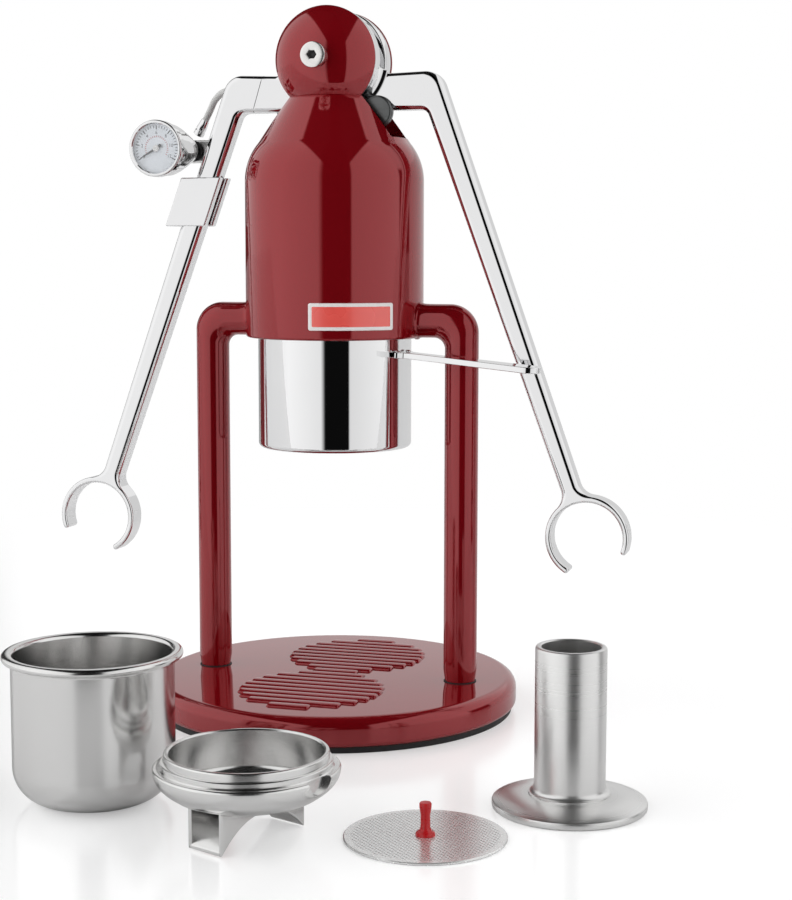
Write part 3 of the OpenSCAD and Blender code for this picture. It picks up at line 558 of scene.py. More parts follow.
@dataclass(frozen=True)
class BrushedSteel(Chrome):
    """Satin steel brushed along X."""

    def grains(self) -> Grains:
        """The same brush marks in tone, gloss and relief."""
        ends = ((0.93, 1.05), (0.8, 1.2), (0.05, 0.012))
        return tuple(Grain(2400.0, 3.0, *pair) for pair in ends)

    def pattern(self, sketch: Sketch) -> Socket:
        """Coordinates drawn out along X."""
        drawn = {0: sketch.place(), 1: (0.03, 1.0, 1.0)}
        return sketch.add("VectorMath", drawn, operation="MULTIPLY").outputs[0]


@dataclass(frozen=True)
class TurnedSteel(Chrome):
    """Satin steel with the fine rings that turning leaves about an upright axis."""

    centre: Pair = (0.0, 0.0)
    rings: float = 2600.0
    stretch: float = 0.55

    def grains(self) -> Grains:
        """The same rings in tone, gloss and relief."""
        ends = ((0.975, 1.02), (0.93, 1.07), (0.004, 0.002))
        return tuple(Grain(self.rings, 3.0, *pair) for pair in ends)

    def shine(self) -> dict[str, float]:
        """Bare metal whose gloss is drawn out along the rings."""
        return {"Metallic": 1.0, "Anisotropic": self.stretch}

    def pattern(self, sketch: Sketch) -> Socket:
        """Radius and height."""
        x, y, z = sketch.split(sketch.place((*self.centre, 0)))
        return sketch.add("CombineXYZ", {0: sketch.length(x, y), 2: z}).outputs[0]


@dataclass(frozen=True)
class PerforatedSteel(Finish):
    """Thin steel with a field of fine holes inside a plain rim."""

    centre: Pair = (0.0, 0.0)
    pitch: float = 1.5
    hole: float = 0.27
    blur: float = 0.06
    field_r: float = 26.5
    field_low: float = 0.5

    def draw(self, sketch: Sketch) -> Sketch:
        """Draws holes on a square lattice turned by an eighth of a circle.

        Args:
            sketch: The empty material.

        Returns:
            The same sketch.
        """
        op = sketch.math
        where = sketch.place((*self.centre, 0), 45.0)
        x, y, z = sketch.split(where)
        lattice = [op("ADD", op("DIVIDE", c, self.pitch * MM), 100.0) for c in (x, y)]
        near = sketch.length(*(op("SUBTRACT", op("FRACT", c), 0.5) for c in lattice))
        inside = op("LESS_THAN", sketch.length(x, y), self.field_r * MM)
        in_field = op("MULTIPLY", inside, op("GREATER_THAN", z, self.field_low * MM))
        metal = sketch.spread(near, 0.0, 1.0, self.hole - self.blur, self.hole + self.blur)
        solid = op("SUBTRACT", 1.0, op("MULTIPLY", in_field, op("SUBTRACT", 1.0, metal)))
        gloss = Grain(700.0, 2.0, 0.85, 1.2)
        sketch.tint(solid, shade(self.colour, 0.45), self.colour)
        sketch.rough(sketch.noise(where, gloss), self.roughness * gloss.low, self.roughness * gloss.high)
        sketch.bump(solid, 0.3, 0.06)
        sketch.feed(sketch.shader, {"Metallic": 0.65})
        return sketch


@dataclass(frozen=True)
class Glass(Finish):
    """Clear glass."""

    def draw(self, sketch: Sketch) -> Sketch:
        """Draws glass with a trace of dust in its gloss, and gives the sketch back."""
        dust = Grain(500.0, 3.0, 0.0, self.roughness)
        sketch.rough(sketch.noise(sketch.place(), dust), dust.low, dust.high)
        sketch.feed(sketch.shader, {"Base Color": (*self.colour, 1), "Alpha": 0.1, "IOR": 1.5})
        return sketch


STEEL = (0.80, 0.797, 0.79)
# Painted shade: a dark grey steel for the boss under each arm's stub, so that the cove between hub and stub
# reads dark.
COVE_SHADE_GREY = (0.16, 0.165, 0.165)
LACQUER = Paint("wine_red_lacquer", (0.29, 0.0045, 0.0095), 0.06, "paint", flake=0.4)
PLATE = Chrome("mirror_plate", (0.86, 0.86, 0.865), 0.03, "chrome")
CAP = Chrome("satin_cap", (0.83, 0.82, 0.80), 0.22, "chrome")
MACHINED = BrushedSteel("machined_steel", STEEL, 0.3, "steel")
COVE_SHADE_STEEL = BrushedSteel("painted_cove_shade_steel", COVE_SHADE_GREY, 0.35)
RUBBER = Finish("black_rubber", (0.012, 0.012, 0.013), 0.55, "rubber")
ENAMEL = Paint("badge_enamel", (0.90, 0.11, 0.09), 0.25, "plate_red")
BADGE_EDGE = Finish("badge_border", (0.88, 0.86, 0.85), 0.3, "plate_white")
CARD = Finish("dial_card", (0.84, 0.88, 0.93), 0.5, "dial")
# Painted shade: a near-black finish for the plug that sits in the axle cap's socket, standing for the shade
# inside the hole.
SOCKET_SHADE = Finish("painted_socket_shade", (0.02, 0.02, 0.02), 0.5)
INK = Finish("dial_ink", (0.03, 0.035, 0.05), 0.6)
RED_INK = Finish("dial_red_ink", (0.50, 0.07, 0.08), 0.6)
HAND = Finish("gauge_hand", (0.02, 0.02, 0.022), 0.4, "needle")
HAND_HUB = Finish("gauge_hand_hub", (0.78, 0.78, 0.77), 0.35)
LENS = Glass("gauge_glass", (0.98, 0.99, 1.0), 0.02, "lens")
HOSE = Finish("pale_hose", (0.60, 0.60, 0.59), 0.35)
GRIP = Finish("red_grip", (0.55, 0.008, 0.012), 0.3, "grip_red")
BRONZE = BrushedSteel("bearing_bronze", (0.45, 0.27, 0.11), 0.35, "bronze")
SEAL = Finish("seal_rubber", (0.45, 0.05, 0.03), 0.5, "seal")


@dataclass
class Base:
    """The round painted base with its two fields of raised ribs."""

    radius: float = 82.0
    low: float = 2.4
    top: float = 15.0
    edge: float = 5.0
    low_edge: float = 2.5
    field_r: float = 31.5
    field_y: float = 33.9
    bridge_half: float = 10.5
    shortest: float = 5.8
    pitch: float = 6.4
    rib_gap: float = 0.2
    rib_h: float = 1.3
    rib_sink: float = 0.05
    rib_end: float = 1.3
    end_draw: float = 0.7
    fullness: float = 0.85

    def rows(self) -> tuple[np.ndarray, np.ndarray]:
        """Depth and half length of each rib: as long as the fields are wide at its middle."""
        count = math.ceil((self.field_y + self.field_r) / self.pitch)
        y = np.arange(-count, count + 1) * self.pitch
        reach = np.sqrt(np.maximum(self.field_r**2 - (np.abs(y) - self.field_y) ** 2, 0))
        in_bridge = np.abs(y) < self.field_y - self.field_r / 2
        half = np.where(in_bridge, np.maximum(reach, self.bridge_half), reach)
        return y[half > self.shortest], half[half > self.shortest]

    def bar(self, y: float, half: float) -> Shell:
        """One ridge at a depth y: a rounded section carried along X and drawn in at both ends."""
        t = np.linspace(0, 1, 7) * np.pi / 2
        ease = self.rib_end * (1 - np.cos(t))
        x = np.concatenate([-half + ease, half - ease[::-1]])
        size = np.concatenate([np.sin(t), np.sin(t[::-1])])[:, None]
        a = np.radians(np.linspace(0, 180, 17))[None, :]
        across = ((self.pitch - self.rib_gap) / 2 - self.end_draw * (1 - size)) * np.cos(a)
        up = self.rib_h * size * np.sin(a) ** self.fullness - self.rib_sink
        rows = np.stack(np.broadcast_arrays(x[:, None], y + across, self.top + up), -1)
        return grid(rows, wrap_columns=True)

    def build(self) -> None:
        """Makes the plate and its ribs."""
        r, e, f = self.radius, self.edge, self.low_edge
        plate = lathe([[0, self.low]], arc(r - f, self.low + f, f, -90, 0),
                      arc(r - e, self.top - e, e, 0, 90, 16), [[0, self.top]], segments=240)
        add_piece("base_casting", plate, LACQUER, Rides.FRAME, "base_plate")
        ribs = joined(self.bar(y, half) for y, half in zip(*self.rows()))
        add_piece("base_ribs", ribs, LACQUER, Rides.FRAME, "grille_ribs")


@dataclass
class Legs:
    """Two painted tubes that bend into the body."""

    diameter: float = 14.8
    axis_x: float = 58.3
    foot: float = 15.35
    outer_round: float = 12.5
    inner_round: float = 5.0
    shoulder: float = 175.2
    inner: float = 37.6
    skin: float = 39.2
    base_top: float = 15.0
    flare: float = 0.9
    flare_run: float = 0.8
    foot_draw: float = 0.7
    foot_run: float = 0.5
    seal_w: float = 2.5
    seal_in: float = 0.1
    steps: int = 30

    def side_line(self, away: float, bend: float) -> np.ndarray:
        """X and Z of one side of the tube in its own plane.

        Args:
            away: Distance of the line from the tube axis, positive on the outside.
            bend: Radius of its bend.

        Returns:
            Points from the foot to inside the body, as many for every line.
        """
        x, z, n = self.axis_x + away, self.shoulder + away, self.steps
        up = np.column_stack([np.full(n, x), np.linspace(self.foot, z - bend, n)])
        turn = arc(x - bend, z - bend, bend, 0, 90, 24)[1:]
        along = np.linspace(x - bend, self.inner, n)[1:]
        return np.concatenate([up, turn, np.column_stack([along, np.full(n - 1, z)])])

    def tube(self) -> Shell:
        """The right leg: each ring spans from the outer line to the inner one, and is as deep as the tube.

        A point of a ring is the middle of the two lines, plus cos a of half their distance in the
        plane of the leg and sin a of the tube's radius across it. The rings widen a little at the body.
        """
        r = self.diameter / 2
        outer, inner = self.side_line(r, self.outer_round), self.side_line(-r, self.inner_round)
        mid, half = (outer + inner) / 2, (outer - inner) / 2
        flare = self.flare * np.exp(-np.maximum(mid[:, 0] - self.skin, 0) / self.flare_run)
        flare *= mid[:, 1] > self.shoulder - 1
        draw = self.foot_draw * np.exp(-(mid[:, 1] - self.foot) / self.foot_run)
        size = (1 + (flare - draw) / r)[:, None]
        a = angles(64)
        flat = mid[:, None, :] + size[..., None] * half[:, None, :] * np.cos(a)[None, :, None]
        return capped(np.stack([flat[..., 0], size * r * np.sin(a), flat[..., 1]], -1))

    def build(self) -> None:
        """Makes both tubes, and the seal under each."""
        for side, node in ((Side.LEFT, "left_leg"), (Side.RIGHT, "right_leg")):
            add_piece(f"{node}_tube", self.tube().placed(turn=side.turn), LACQUER, Rides.FRAME, node)
        r, low, high = self.diameter / 2 - self.seal_in, self.base_top, self.foot
        inside = r - self.seal_w
        section = [[inside, low], [r, low], [r, high - 0.05], [r - 0.2, high + 0.1], [inside, high + 0.1]]
        ring = lathe(section, closed=True, segments=64)
        pair = joined(ring.placed((side.value * self.axis_x, 0, 0)) for side in Side)
        add_piece("leg_seals", pair, RUBBER, Rides.FRAME, "leg_gaskets")


@dataclass
class Body:
    """The bottle shaped body with the two domes of its head, the slot between them and its badge."""

    radius: float = 39.5
    low: float = 167.6
    foot_edge: float = 1.2
    straight: float = 236.0
    shoulder_r: float = 26.0
    sweep: float = 40.0
    neck_r: float = 20.6
    neck_z: float = 272.0
    wall: float = 4.4
    collar: float = 24.0
    bore: float = 34.15
    slot_z: float = 254.4
    slot_half: float = 12.5
    slot_reach: float = 60.0
    slot_above: float = 40.0
    axle_z: float = AXLE_Z
    head_r: float = 23.0
    head_lip: float = 0.4
    dome: float = 13.0
    badge_w: float = 38.0
    badge_h: float = 11.6
    badge_border: float = 1.5
    badge_angle: float = 29.0
    badge_rise: float = 10.2

    def outline(self, inset: float) -> np.ndarray:
        """Radius and height of the bottle above its straight part, moved in by an inset."""
        curve = arc(self.radius - self.shoulder_r, self.straight, self.shoulder_r - inset, 0, self.sweep, 24)
        return np.concatenate([curve, [[self.neck_r - inset, self.neck_z]]])

    def cap(self, side: float) -> Shell:
        """One dome of the head: a slice of a ball about the axle, with its rim eased."""
        ball = (self.head_r**2 + self.dome**2) / (2 * self.dome)
        start = math.degrees(math.asin(self.head_r / ball))
        curve = arc(0, self.slot_half + self.dome - ball, ball, 90 - start, 90, 40)
        curve[-1, 0] = 0
        flat = [[0, self.slot_half], [self.head_r - self.head_lip, self.slot_half]]
        return lathe(flat, curve[1:]).placed((0, 0, self.axle_z), turn_x(-90 * side))

    def badge(self, margin: float, proud: float, corner: float) -> Shell:
        """A thin plate wrapped on the body, with rounded corners.

        Args:
            margin: Distance of its edge from the edge of the badge.
            proud: Height of its face above the paint.
            corner: Radius of its corners.

        Returns:
            The shell.
        """
        w, h = self.badge_w / 2 - margin, self.badge_h / 2 - margin
        quarters = ((1, 1, 0), (-1, 1, 90), (-1, -1, 180), (1, -1, 270))
        corners = [arc(sx * (w - corner), sy * (h - corner), corner, a, a + 90, 5) for sx, sy, a in quarters]
        loop = np.concatenate([*corners, corners[0][:1]])
        t = np.linspace(0, 1, 16, endpoint=False)[None, :, None]
        edge = (loop[:-1, None] * (1 - t) + loop[1:, None] * t).reshape(-1, 2)
        scale = np.concatenate([[1.0], np.linspace(1, 0, 40)])
        scale[2] = 0.985
        lift = np.concatenate([[-0.3, proud - 0.15], np.full(39, proud)])[:, None]
        flat = scale[:, None, None] * edge[None]
        a = np.radians(self.badge_angle - 90) + flat[..., 0] / self.radius
        rows = polar(self.radius + lift, a, self.low + self.badge_rise + flat[..., 1])
        return grid(rows, wrap_columns=True)

    def build(self) -> None:
        """Makes the casting and the badge."""
        foot = arc(self.radius - self.foot_edge, self.low + self.foot_edge, self.foot_edge, -90, 0, 6)
        ledge = [[r, self.low + self.collar] for r in (self.radius - self.wall, self.bore)]
        bottle = lathe([[self.bore, self.low]], foot, self.outline(0), self.outline(self.wall)[::-1], ledge,
                       closed=True, segments=192)
        slot = block((-self.slot_reach, -self.slot_half, self.slot_z),
                     (self.slot_reach, self.slot_half, self.axle_z + self.slot_above))
        steps = [(Cut.TAKE, slot)] + [(Cut.ADD, self.cap(s)) for s in (-1, 1)]
        add_piece("body_casting", combined("body_casting", bottle, steps), LACQUER, Rides.FRAME, "body_shell",
                  sharp=28, bevel=0.5, bevel_steps=2)
        add_piece("badge_face", self.badge(self.badge_border, 0.55, 0.5), ENAMEL, Rides.FRAME, "name_plate")
        add_piece("badge_frame", self.badge(0, 0.45, 0.9), BADGE_EDGE, Rides.FRAME, "name_plate_border")


@dataclass
class AxleCap:
    """The round cap of the axle at the front of the head, with a hexagon socket."""

    axle_z: float = AXLE_Z
    tip: float = 25.5
    sunk: float = 3.0
    collar: float = 3.0
    thick: float = 2.2
    radius: float = 5.5
    collar_r: float = 5.0
    socket: float = 2.0
    depth: float = 1.4

    def build(self) -> None:
        """Makes the cap: rings about the axle, the inner ones drawn to a hexagon."""
        r, c, s = self.radius, self.collar_r, self.socket
        seat = self.tip + self.collar
        top = seat + self.thick
        p = np.array([[c, self.tip - self.sunk], [c, seat - 0.35], [c - 0.3, seat - 0.05], [c - 0.3, seat],
                      [r - 0.3, seat], [r, seat + 0.3], [r, top - 0.7], [r - 0.2, top - 0.25], [r - 0.7, top],
                      [s + 0.35, top], [s, top - 0.2], [s, top - self.depth], [0, top - self.depth - 0.3]])
        a = angles(96)
        six = math.cos(math.pi / 6) / np.cos((a % (math.pi / 3)) - math.pi / 6)
        in_socket = p[:, :1] < s + 0.1
        rows = polar(p[:, :1] * np.where(in_socket, six[None], 1.0), a, p[:, 1:])
        at = (0, 0, self.axle_z)
        cap = grid(rows, wrap_columns=True).placed(at, FACING_FRONT)
        add_piece("axle_button", cap, CAP, Rides.FRAME, "axle_cap")
        # Painted shade: a near-black hexagon plug fills the socket's floor so that the socket reads dark.
        floor, wide = top - self.depth + 0.12, s * 0.98
        hole = [[0, floor - 0.5], [wide, floor - 0.5], [wide, top - 0.35], [s * 0.5, floor], [0, floor]]
        plug = lathe(hole, segments=6)
        add_piece("axle_socket_shade", plug.placed(at, FACING_FRONT), SOCKET_SHADE, Rides.FRAME)


@dataclass
class Sleeve:
    """The chromed group sleeve with its flat handle strip."""

    radius: float = 34.1
    wall: float = 3.0
    low: float = 118.8
    top: float = 191.6
    edge: float = 2.0
    strip_angle: float = 75.0
    strip_droop: float = 4.0
    strip_rise: float = 42.0
    strip_reach: float = 102.0
    strip_t: float = 2.6
    root_w: float = 7.0
    tip_w: float = 12.0
    foot_w: float = 14.0
    rivet_r: float = 1.2
    rivet_side: float = 4.35

    def build(self) -> None:
        """Makes the sleeve, the strip and its rivets."""
        r, e, low, inside = self.radius, self.edge, self.low, self.radius - self.wall
        tube = lathe([[inside, low + 0.6], [inside + 0.4, low + 0.1]], arc(r - e, low + e, e, -80, 0, 10),
                     [[r, self.top], [inside, self.top]], closed=True, segments=220)
        add_piece("sleeve_tube", tube, PLATE, Rides.SLEEVE, "group_sleeve")
        aside = turn_z(self.strip_angle - 90)
        turn = aside @ turn_y(self.strip_droop)
        root = aside @ np.array([r, 0, 0]) + np.array([0, 0, low + self.strip_rise])
        tip, neck, foot = self.tip_w / 2, self.root_w / 2, self.foot_w / 2
        end = arc(self.strip_reach - r - tip, 0, tip, 0, 84, 10)
        shank = [[8.0, neck + 0.2], [4.0, neck + 0.9], [2.4, foot - 0.6], [1.6, foot], [0.9, foot]]
        upper = np.concatenate([end, shank])
        outline = np.concatenate([upper, (upper * [1, -1])[::-1]])
        strip = prism(outline, -self.strip_t / 2, self.strip_t / 2).placed(root, turn)
        add_piece("strip_handle", strip, PLATE, Rides.SLEEVE, "handle_strip", bevel=0.7)
        head = lathe([[self.rivet_r, 0], [self.rivet_r, 0.3], [0.85, 0.65], [0, 0.8]], segments=24)
        seats = [(self.rivet_r, s * self.rivet_side, self.strip_t / 2 - 0.05) for s in (-1, 1)]
        rivets = joined(head.placed(seat).placed(root, turn) for seat in seats)
        add_piece("strip_rivets", rivets, PLATE, Rides.SLEEVE, "handle_rivets")


@dataclass
class Arms:
    """The two lever arms: hub disc, stub, elbow, tapered arm and open fork ring."""

    axle_z: float = AXLE_Z
    depth: float = 10.5
    hub_r: float = 22.4
    hub_out: float = 12.2
    hub_in: float = 4.2
    hub_room: float = 0.4
    stub_low: float = -21.7
    stub_top: float = -5.1
    elbow_x: float = 48.5
    width_top: float = 10.6
    width_end: float = 8.4
    fork: Pair = (115.2, -205.4)
    fork_r: float = 18.2
    fork_wall: float = 2.6
    fork_open: float = 52.0
    fillet: float = 7.0
    elbow_round: float = 9.0
    inner_round: float = 4.0
    edge: float = 2.8
    root_edge: float = 0.8
    fork_edge: float = 1.0
    cove: float = 3.5
    cove_drop: float = 0.8
    hub_cove: float = 4.0
    cove_span: Pair = (-11.0, -55.0)
    web: Pair = (4.2, 7.8)
    lobe_r: float = 7.0
    lobe_at: Triple = (21.5, 0.0, -22.5)
    split_x: float = 33.9
    split_lean: float = -17.0
    split_half: float = 0.14
    split_deep: float = 0.35

    @property
    def lean(self) -> float:
        """Lean of the arm from the vertical in radians."""
        return math.atan2(self.fork[0] - self.elbow_x, self.stub_low - self.fork[1])

    def ring(self) -> tuple[np.ndarray, np.ndarray]:
        """Outline of the fork from one edge of the arm round to the other, about the fork centre.

        The arm's edge runs into the ring on an arc of the fillet radius that touches both, and each
        end of the ring is a half circle.

        Returns:
            Points with X across the arm and Y up along it, and the radius of the edge at each.
        """
        w, r, f, t = self.width_end / 2, self.fork_r, self.fillet, self.fork_wall / 2
        rise = math.sqrt((r + f) ** 2 - (w + f) ** 2)
        meet = math.degrees(math.atan2(rise, w + f))
        tip = -90 + self.fork_open
        cove = arc(w + f, rise, f, 180, 180 + meet, 10)
        outer = arc(0, 0, r, meet, tip, 40)[1:]
        x, y = arc(0, 0, r - t, tip, tip, 0)[0]
        half = np.concatenate([cove, outer, arc(x, y, t, tip, tip - 180, 10)[1:]])
        inner = arc(0, 0, r - 2 * t, tip, 180 - tip, 80)[1:-1]
        edge = np.full(len(half), self.fork_edge)
        edge[:len(cove)] = np.linspace(self.edge, self.fork_edge, len(cove))
        edges = np.concatenate([edge, np.full(len(inner), self.fork_edge), edge[::-1]])
        return np.concatenate([half, inner, (half * [-1, 1])[::-1]]), edges

    def outline(self) -> tuple[np.ndarray, np.ndarray]:
        """Outline of stub, elbow, arm and fork in X and Z about the axle, and the radius of its edge.

        The stub runs into the hub with a small arc above it, where the edge grows to its full radius.

        Returns:
            The points and the radii.
        """
        r, low, a = self.hub_r, self.stub_low, self.lean
        along, out = np.array([math.sin(a), -math.cos(a)]), np.array([math.cos(a), math.sin(a)])
        ring, ring_edge = self.ring()
        ring = ring @ np.array([out, -along]) + np.asarray(self.fork)
        top = np.array([self.elbow_x, low])
        outer, inner = top + out * self.width_top / 2, top - out * self.width_top / 2
        slope = (ring[0] - outer) / np.linalg.norm(ring[0] - outer)
        corner = outer - slope * (self.stub_top - outer[1]) / -slope[1]
        pit = inner + (ring[-1] - inner) * (low - inner[1]) / (ring[-1] - inner)[1]
        c = self.cove
        cove_z = self.stub_top - self.cove_drop + c
        cove_x = math.sqrt((r + c) ** 2 - cove_z**2)
        meet = math.degrees(math.atan2(-cove_z, -cove_x))
        cove = arc(cove_x, cove_z, c, meet % 360, 270, 8)
        bend = rounded(corner, ring[0], cove[-1], self.elbow_round, 14)
        start = np.array([r * 0.3, low])
        crook = rounded(pit, start, ring[-1], self.inner_round, 8)
        before = np.concatenate([[[r * 0.5, low * 0.4], [r * 0.6, cove[0][1]]], cove, bend[::-1]])
        after = np.concatenate([crook[::-1], [[r * 0.9, low], start]])
        easing = np.minimum(np.arange(len(before)) / len(cove), 1.0)
        grown = self.root_edge + (self.edge - self.root_edge) * easing
        edge = np.concatenate([grown, ring_edge, np.full(len(after) - 1, self.edge), [self.root_edge]])
        return np.concatenate([before, ring, after]), edge

    def hub(self) -> Shell:
        """The hub disc, turned along the axle with eased rims and a fine groove, and its cove to the stub.

        The cove is a hollow rounding carried part way round the axle.
        """
        r, low, high, c, face = self.hub_r, self.hub_in, self.hub_out, self.hub_cove, self.depth / 2
        groove = [[r, high - 2.6], [r - 0.35, high - 2.4], [r - 0.35, high - 2.2], [r, high - 2.0]]
        disc = lathe([[0, low]], arc(r - 0.8, low + 0.8, 0.8, -90, 0, 5), groove,
                     arc(r - 0.9, high - 0.9, 0.9, 0, 90, 6), [[0, high]])
        loop = np.concatenate([[[r - 0.4, face - 0.4]], arc(r + c, face + c, c, 270, 180, 8)])
        a = np.radians(np.linspace(*self.cove_span, 24))[:, None]
        return joined([disc, capped(polar(loop[:, 0], a, loop[:, 1]))]).placed(turn=FACING_FRONT)

    def lobe(self) -> Shell:
        """The rounded boss under the stub, next to the hub."""
        r, (low, high) = self.lobe_r, self.web
        boss = lathe([[0, low]], arc(r - 0.8, low + 0.8, 0.8, -90, 0, 4),
                     arc(r - 1.2, high - 1.2, 1.2, 0, 90, 5), [[0, high]], segments=64)
        return boss.placed(self.lobe_at, FACING_FRONT)

    def split(self) -> list[Shell]:
        """Four thin slabs that score a joint line round the stub."""
        half, gap, deep = self.depth / 2, self.split_half, self.split_deep
        middle = (self.stub_low + self.stub_top) / 2
        low, high = self.stub_low - 1 - middle, self.stub_top + 1 - middle
        far = half + 1
        slabs = (((-far, low), (-half + deep, high)), ((half - deep, low), (far, high)),
                 ((-far, high - 1.6), (far, high + 1)), ((-far, low - 1), (far, low + 1.3)))
        at, lean = (self.split_x, 0, middle), turn_y(self.split_lean)
        return [block((-gap, *a), (gap, *b)).placed(at, lean) for a, b in slabs]

    def build(self) -> None:
        """Makes both arms; the left one is the right one turned about the axis of the machine."""
        half, room = self.depth / 2, self.hub_r + self.hub_room
        points, edge = self.outline()
        arm = pillow(points, half, edge).placed(turn=FACING_FRONT)
        space = [[0, -half - 2], [room, -half - 2], [room, self.hub_in], [0, self.hub_in]]
        clear = lathe(space, segments=128).placed(turn=FACING_FRONT)
        lift = (0, 0, self.axle_z)
        for side, rides in ((Side.RIGHT, Rides.RIGHT_ARM), (Side.LEFT, Rides.LEFT_ARM)):
            name, turn = rides.value, side.turn
            takes = [clear] + (self.split() if side is Side.LEFT else [])
            steps = [(Cut.TAKE, t.placed(lift, turn)) for t in takes]
            bar = combined(f"{name}_bar", arm.placed(lift, turn), steps)
            add_piece(f"{name}_bar", bar, PLATE, rides, name)
            add_piece(f"{name}_hub", self.hub().placed(lift, turn), PLATE, rides)
            # Painted shade: the boss takes a dark grey steel finish so that the cove between hub and stub
            # reads dark.
            add_piece(f"{name}_boss", self.lobe().placed(lift, turn), COVE_SHADE_STEEL, rides)


@dataclass
class Gauge:
    """The pressure gauge beside the left arm, with its clamp, block and hose."""

    centre: Triple = (-77.6, -16.5, 250.6)
    stem_off: float = 7.0
    bezel_r: float = 12.5
    bezel_t: float = 2.6
    rim: float = 1.7
    case_gap: float = 0.85
    case_h: float = 12.0
    stem_r: float = 3.5
    stem_len: float = 24.0
    ring_r: float = 4.8
    ring_t: float = 2.0
    room: float = 1.5
    lens_t: float = 0.6
    ink_rise: float = 0.04
    needle_angle: float = 210.0
    needle_len: float = 8.6
    needle_tail: float = 2.8
    needle_rise: float = 0.6
    elbow: Triple = (-48.5, 0.0, 266.3)
    lean: float = 19.95
    clamp_pos: float = 41.5
    clamp_len: float = 23.0
    clamp_out: float = 5.6
    clamp_wall: float = 1.8
    clamp_slot: float = 5.2
    channel: float = 10.35
    arm_depth: float = 10.5
    bracket_t: float = 3.5
    bracket_rise: float = 9.5
    bracket_in: float = 2.5
    nut_half: float = 5.0
    nut_reach: float = 12.0
    nut_t: float = 9.0
    bolt_x: float = -2.7
    bolt_gap: float = 5.75
    route: tuple = ((-66.4, 14, 265), (-63.5, 13, 269.5), (-60.5, 11, 273.5), (-56, 8.8, 276.5),
                    (-50.5, 7.6, 277.6), (-47, 7.6, 277.6))
    hose_r: float = 1.5
    ferrule_r: float = 2.2
    ferrule_len: float = 8.0
    marks: int = 31
    inner_marks: int = 25
    number_r: float = 7.0
    number_h: float = 2.1
    sweep: float = 240.0

    def add(self, name: str, shell: Shell, finish: Finish, *replaces: str,
            rides: Rides = Rides.LEFT_ARM, **options: float) -> None:
        """Makes a piece from a shell in the dial's own frame, whose Z points out of the dial."""
        add_piece(name, shell.placed(self.centre, FACING_FRONT), finish, rides, *replaces, **options)

    def build(self) -> None:
        """Makes case, dial, hand, glass, clamp and hose."""
        self.case()
        self.dial()
        self.hand()
        self.clamp()
        self.hose()

    def case(self) -> None:
        """Makes the bezel, the case with its rounded back, the sealing ring and the glass."""
        r, t, depth, inner = self.bezel_r, self.bezel_t, self.room + self.lens_t, self.bezel_r - self.rim
        bezel = lathe([[r - 0.8, -t], [r - 0.25, -t], [r, -t + 0.3]],
                      arc(r - 0.8, depth - 0.8, 0.8, 0, 90, 8),
                      [[inner + 0.4, depth], [inner, depth - 0.5], [inner, 0.05], [r - 0.8, 0.0]],
                      closed=True, segments=128)
        self.add("gauge_rim", bezel, PLATE, "gauge_bezel")
        c, s, h, far = r - self.case_gap, self.stem_r, -self.case_h, -self.stem_len
        rings = np.array([[0, far, 1], [s, far, 1], [s, far + 1.6, 1], [s + 0.8, far + 2.4, 1],
                          [c * 0.55, far + 5.0, 0.78], [c * 0.8, h - 2.6, 0.4], [c * 0.95, h - 0.4, 0.1],
                          [c, h + 1.0, 0], [c, -0.5, 0], [0, -0.5, 0]])
        back = polar(rings[:, :1], angles(96), rings[:, 1:2])
        back[..., 0] += rings[:, 2:] * self.stem_off
        self.add("gauge_body", grid(back, wrap_columns=True), PLATE, "gauge_case", sharp=40)
        half = self.ring_t / 2
        ring = lathe(arc(self.ring_r - half, far - half, half, 0, 342, 19), closed=True, segments=64)
        self.add("stem_seal", ring.placed((self.stem_off, 0, 0)), RUBBER, "stem_oring")
        pane, low = inner - 0.05, self.room
        glass = [[0, low], [pane, low], [pane, depth - 0.15], [inner - 0.6, depth], [0, depth + 0.1]]
        self.add("gauge_pane", lathe(glass, segments=96), LENS, "gauge_lens")

    def scale(self, count: int) -> np.ndarray:
        """Angles in degrees of the marks of a scale."""
        return 90 + self.sweep / 2 - np.linspace(0, self.sweep, count)

    def ticks(self, degrees: np.ndarray, inside: float, outside: float, width: float) -> Shell:
        """Radial bars on the dial, one for each angle."""
        a = np.radians(degrees)[:, None]
        out, side = np.concatenate([np.cos(a), np.sin(a)], 1), np.concatenate([-np.sin(a), np.cos(a)], 1)
        corners = ((inside, -1), (outside, -1), (outside, 1), (inside, 1))
        flat = np.stack([out * reach + side * s * width / 2 for reach, s in corners], 1)
        points = np.concatenate([flat, np.full((*flat.shape[:2], 1), self.ink_rise)], -1).reshape(-1, 3)
        return Shell(points, np.arange(len(points)).reshape(-1, 4).tolist())

    def number(self, text: str, degrees: float) -> Shell:
        """A plain number as a flat shell, at an angle of the dial."""
        curve = bpy.data.curves.new(f"digits_{text}", "FONT")
        curve.body, curve.size, curve.resolution_u = text, self.number_h, 3
        curve.align_x, curve.align_y = "CENTER", "CENTER"
        obj = shown(curve.name, curve)
        mesh = evaluated(obj)
        points = np.empty(len(mesh.vertices) * 3)
        mesh.vertices.foreach_get("co", points)
        faces = [list(p.vertices) for p in mesh.polygons]
        bpy.data.objects.remove(obj)
        bpy.data.meshes.remove(mesh)
        at = polar(self.number_r, np.radians(degrees), self.ink_rise)
        return Shell(points.reshape(-1, 3), faces).placed(at)

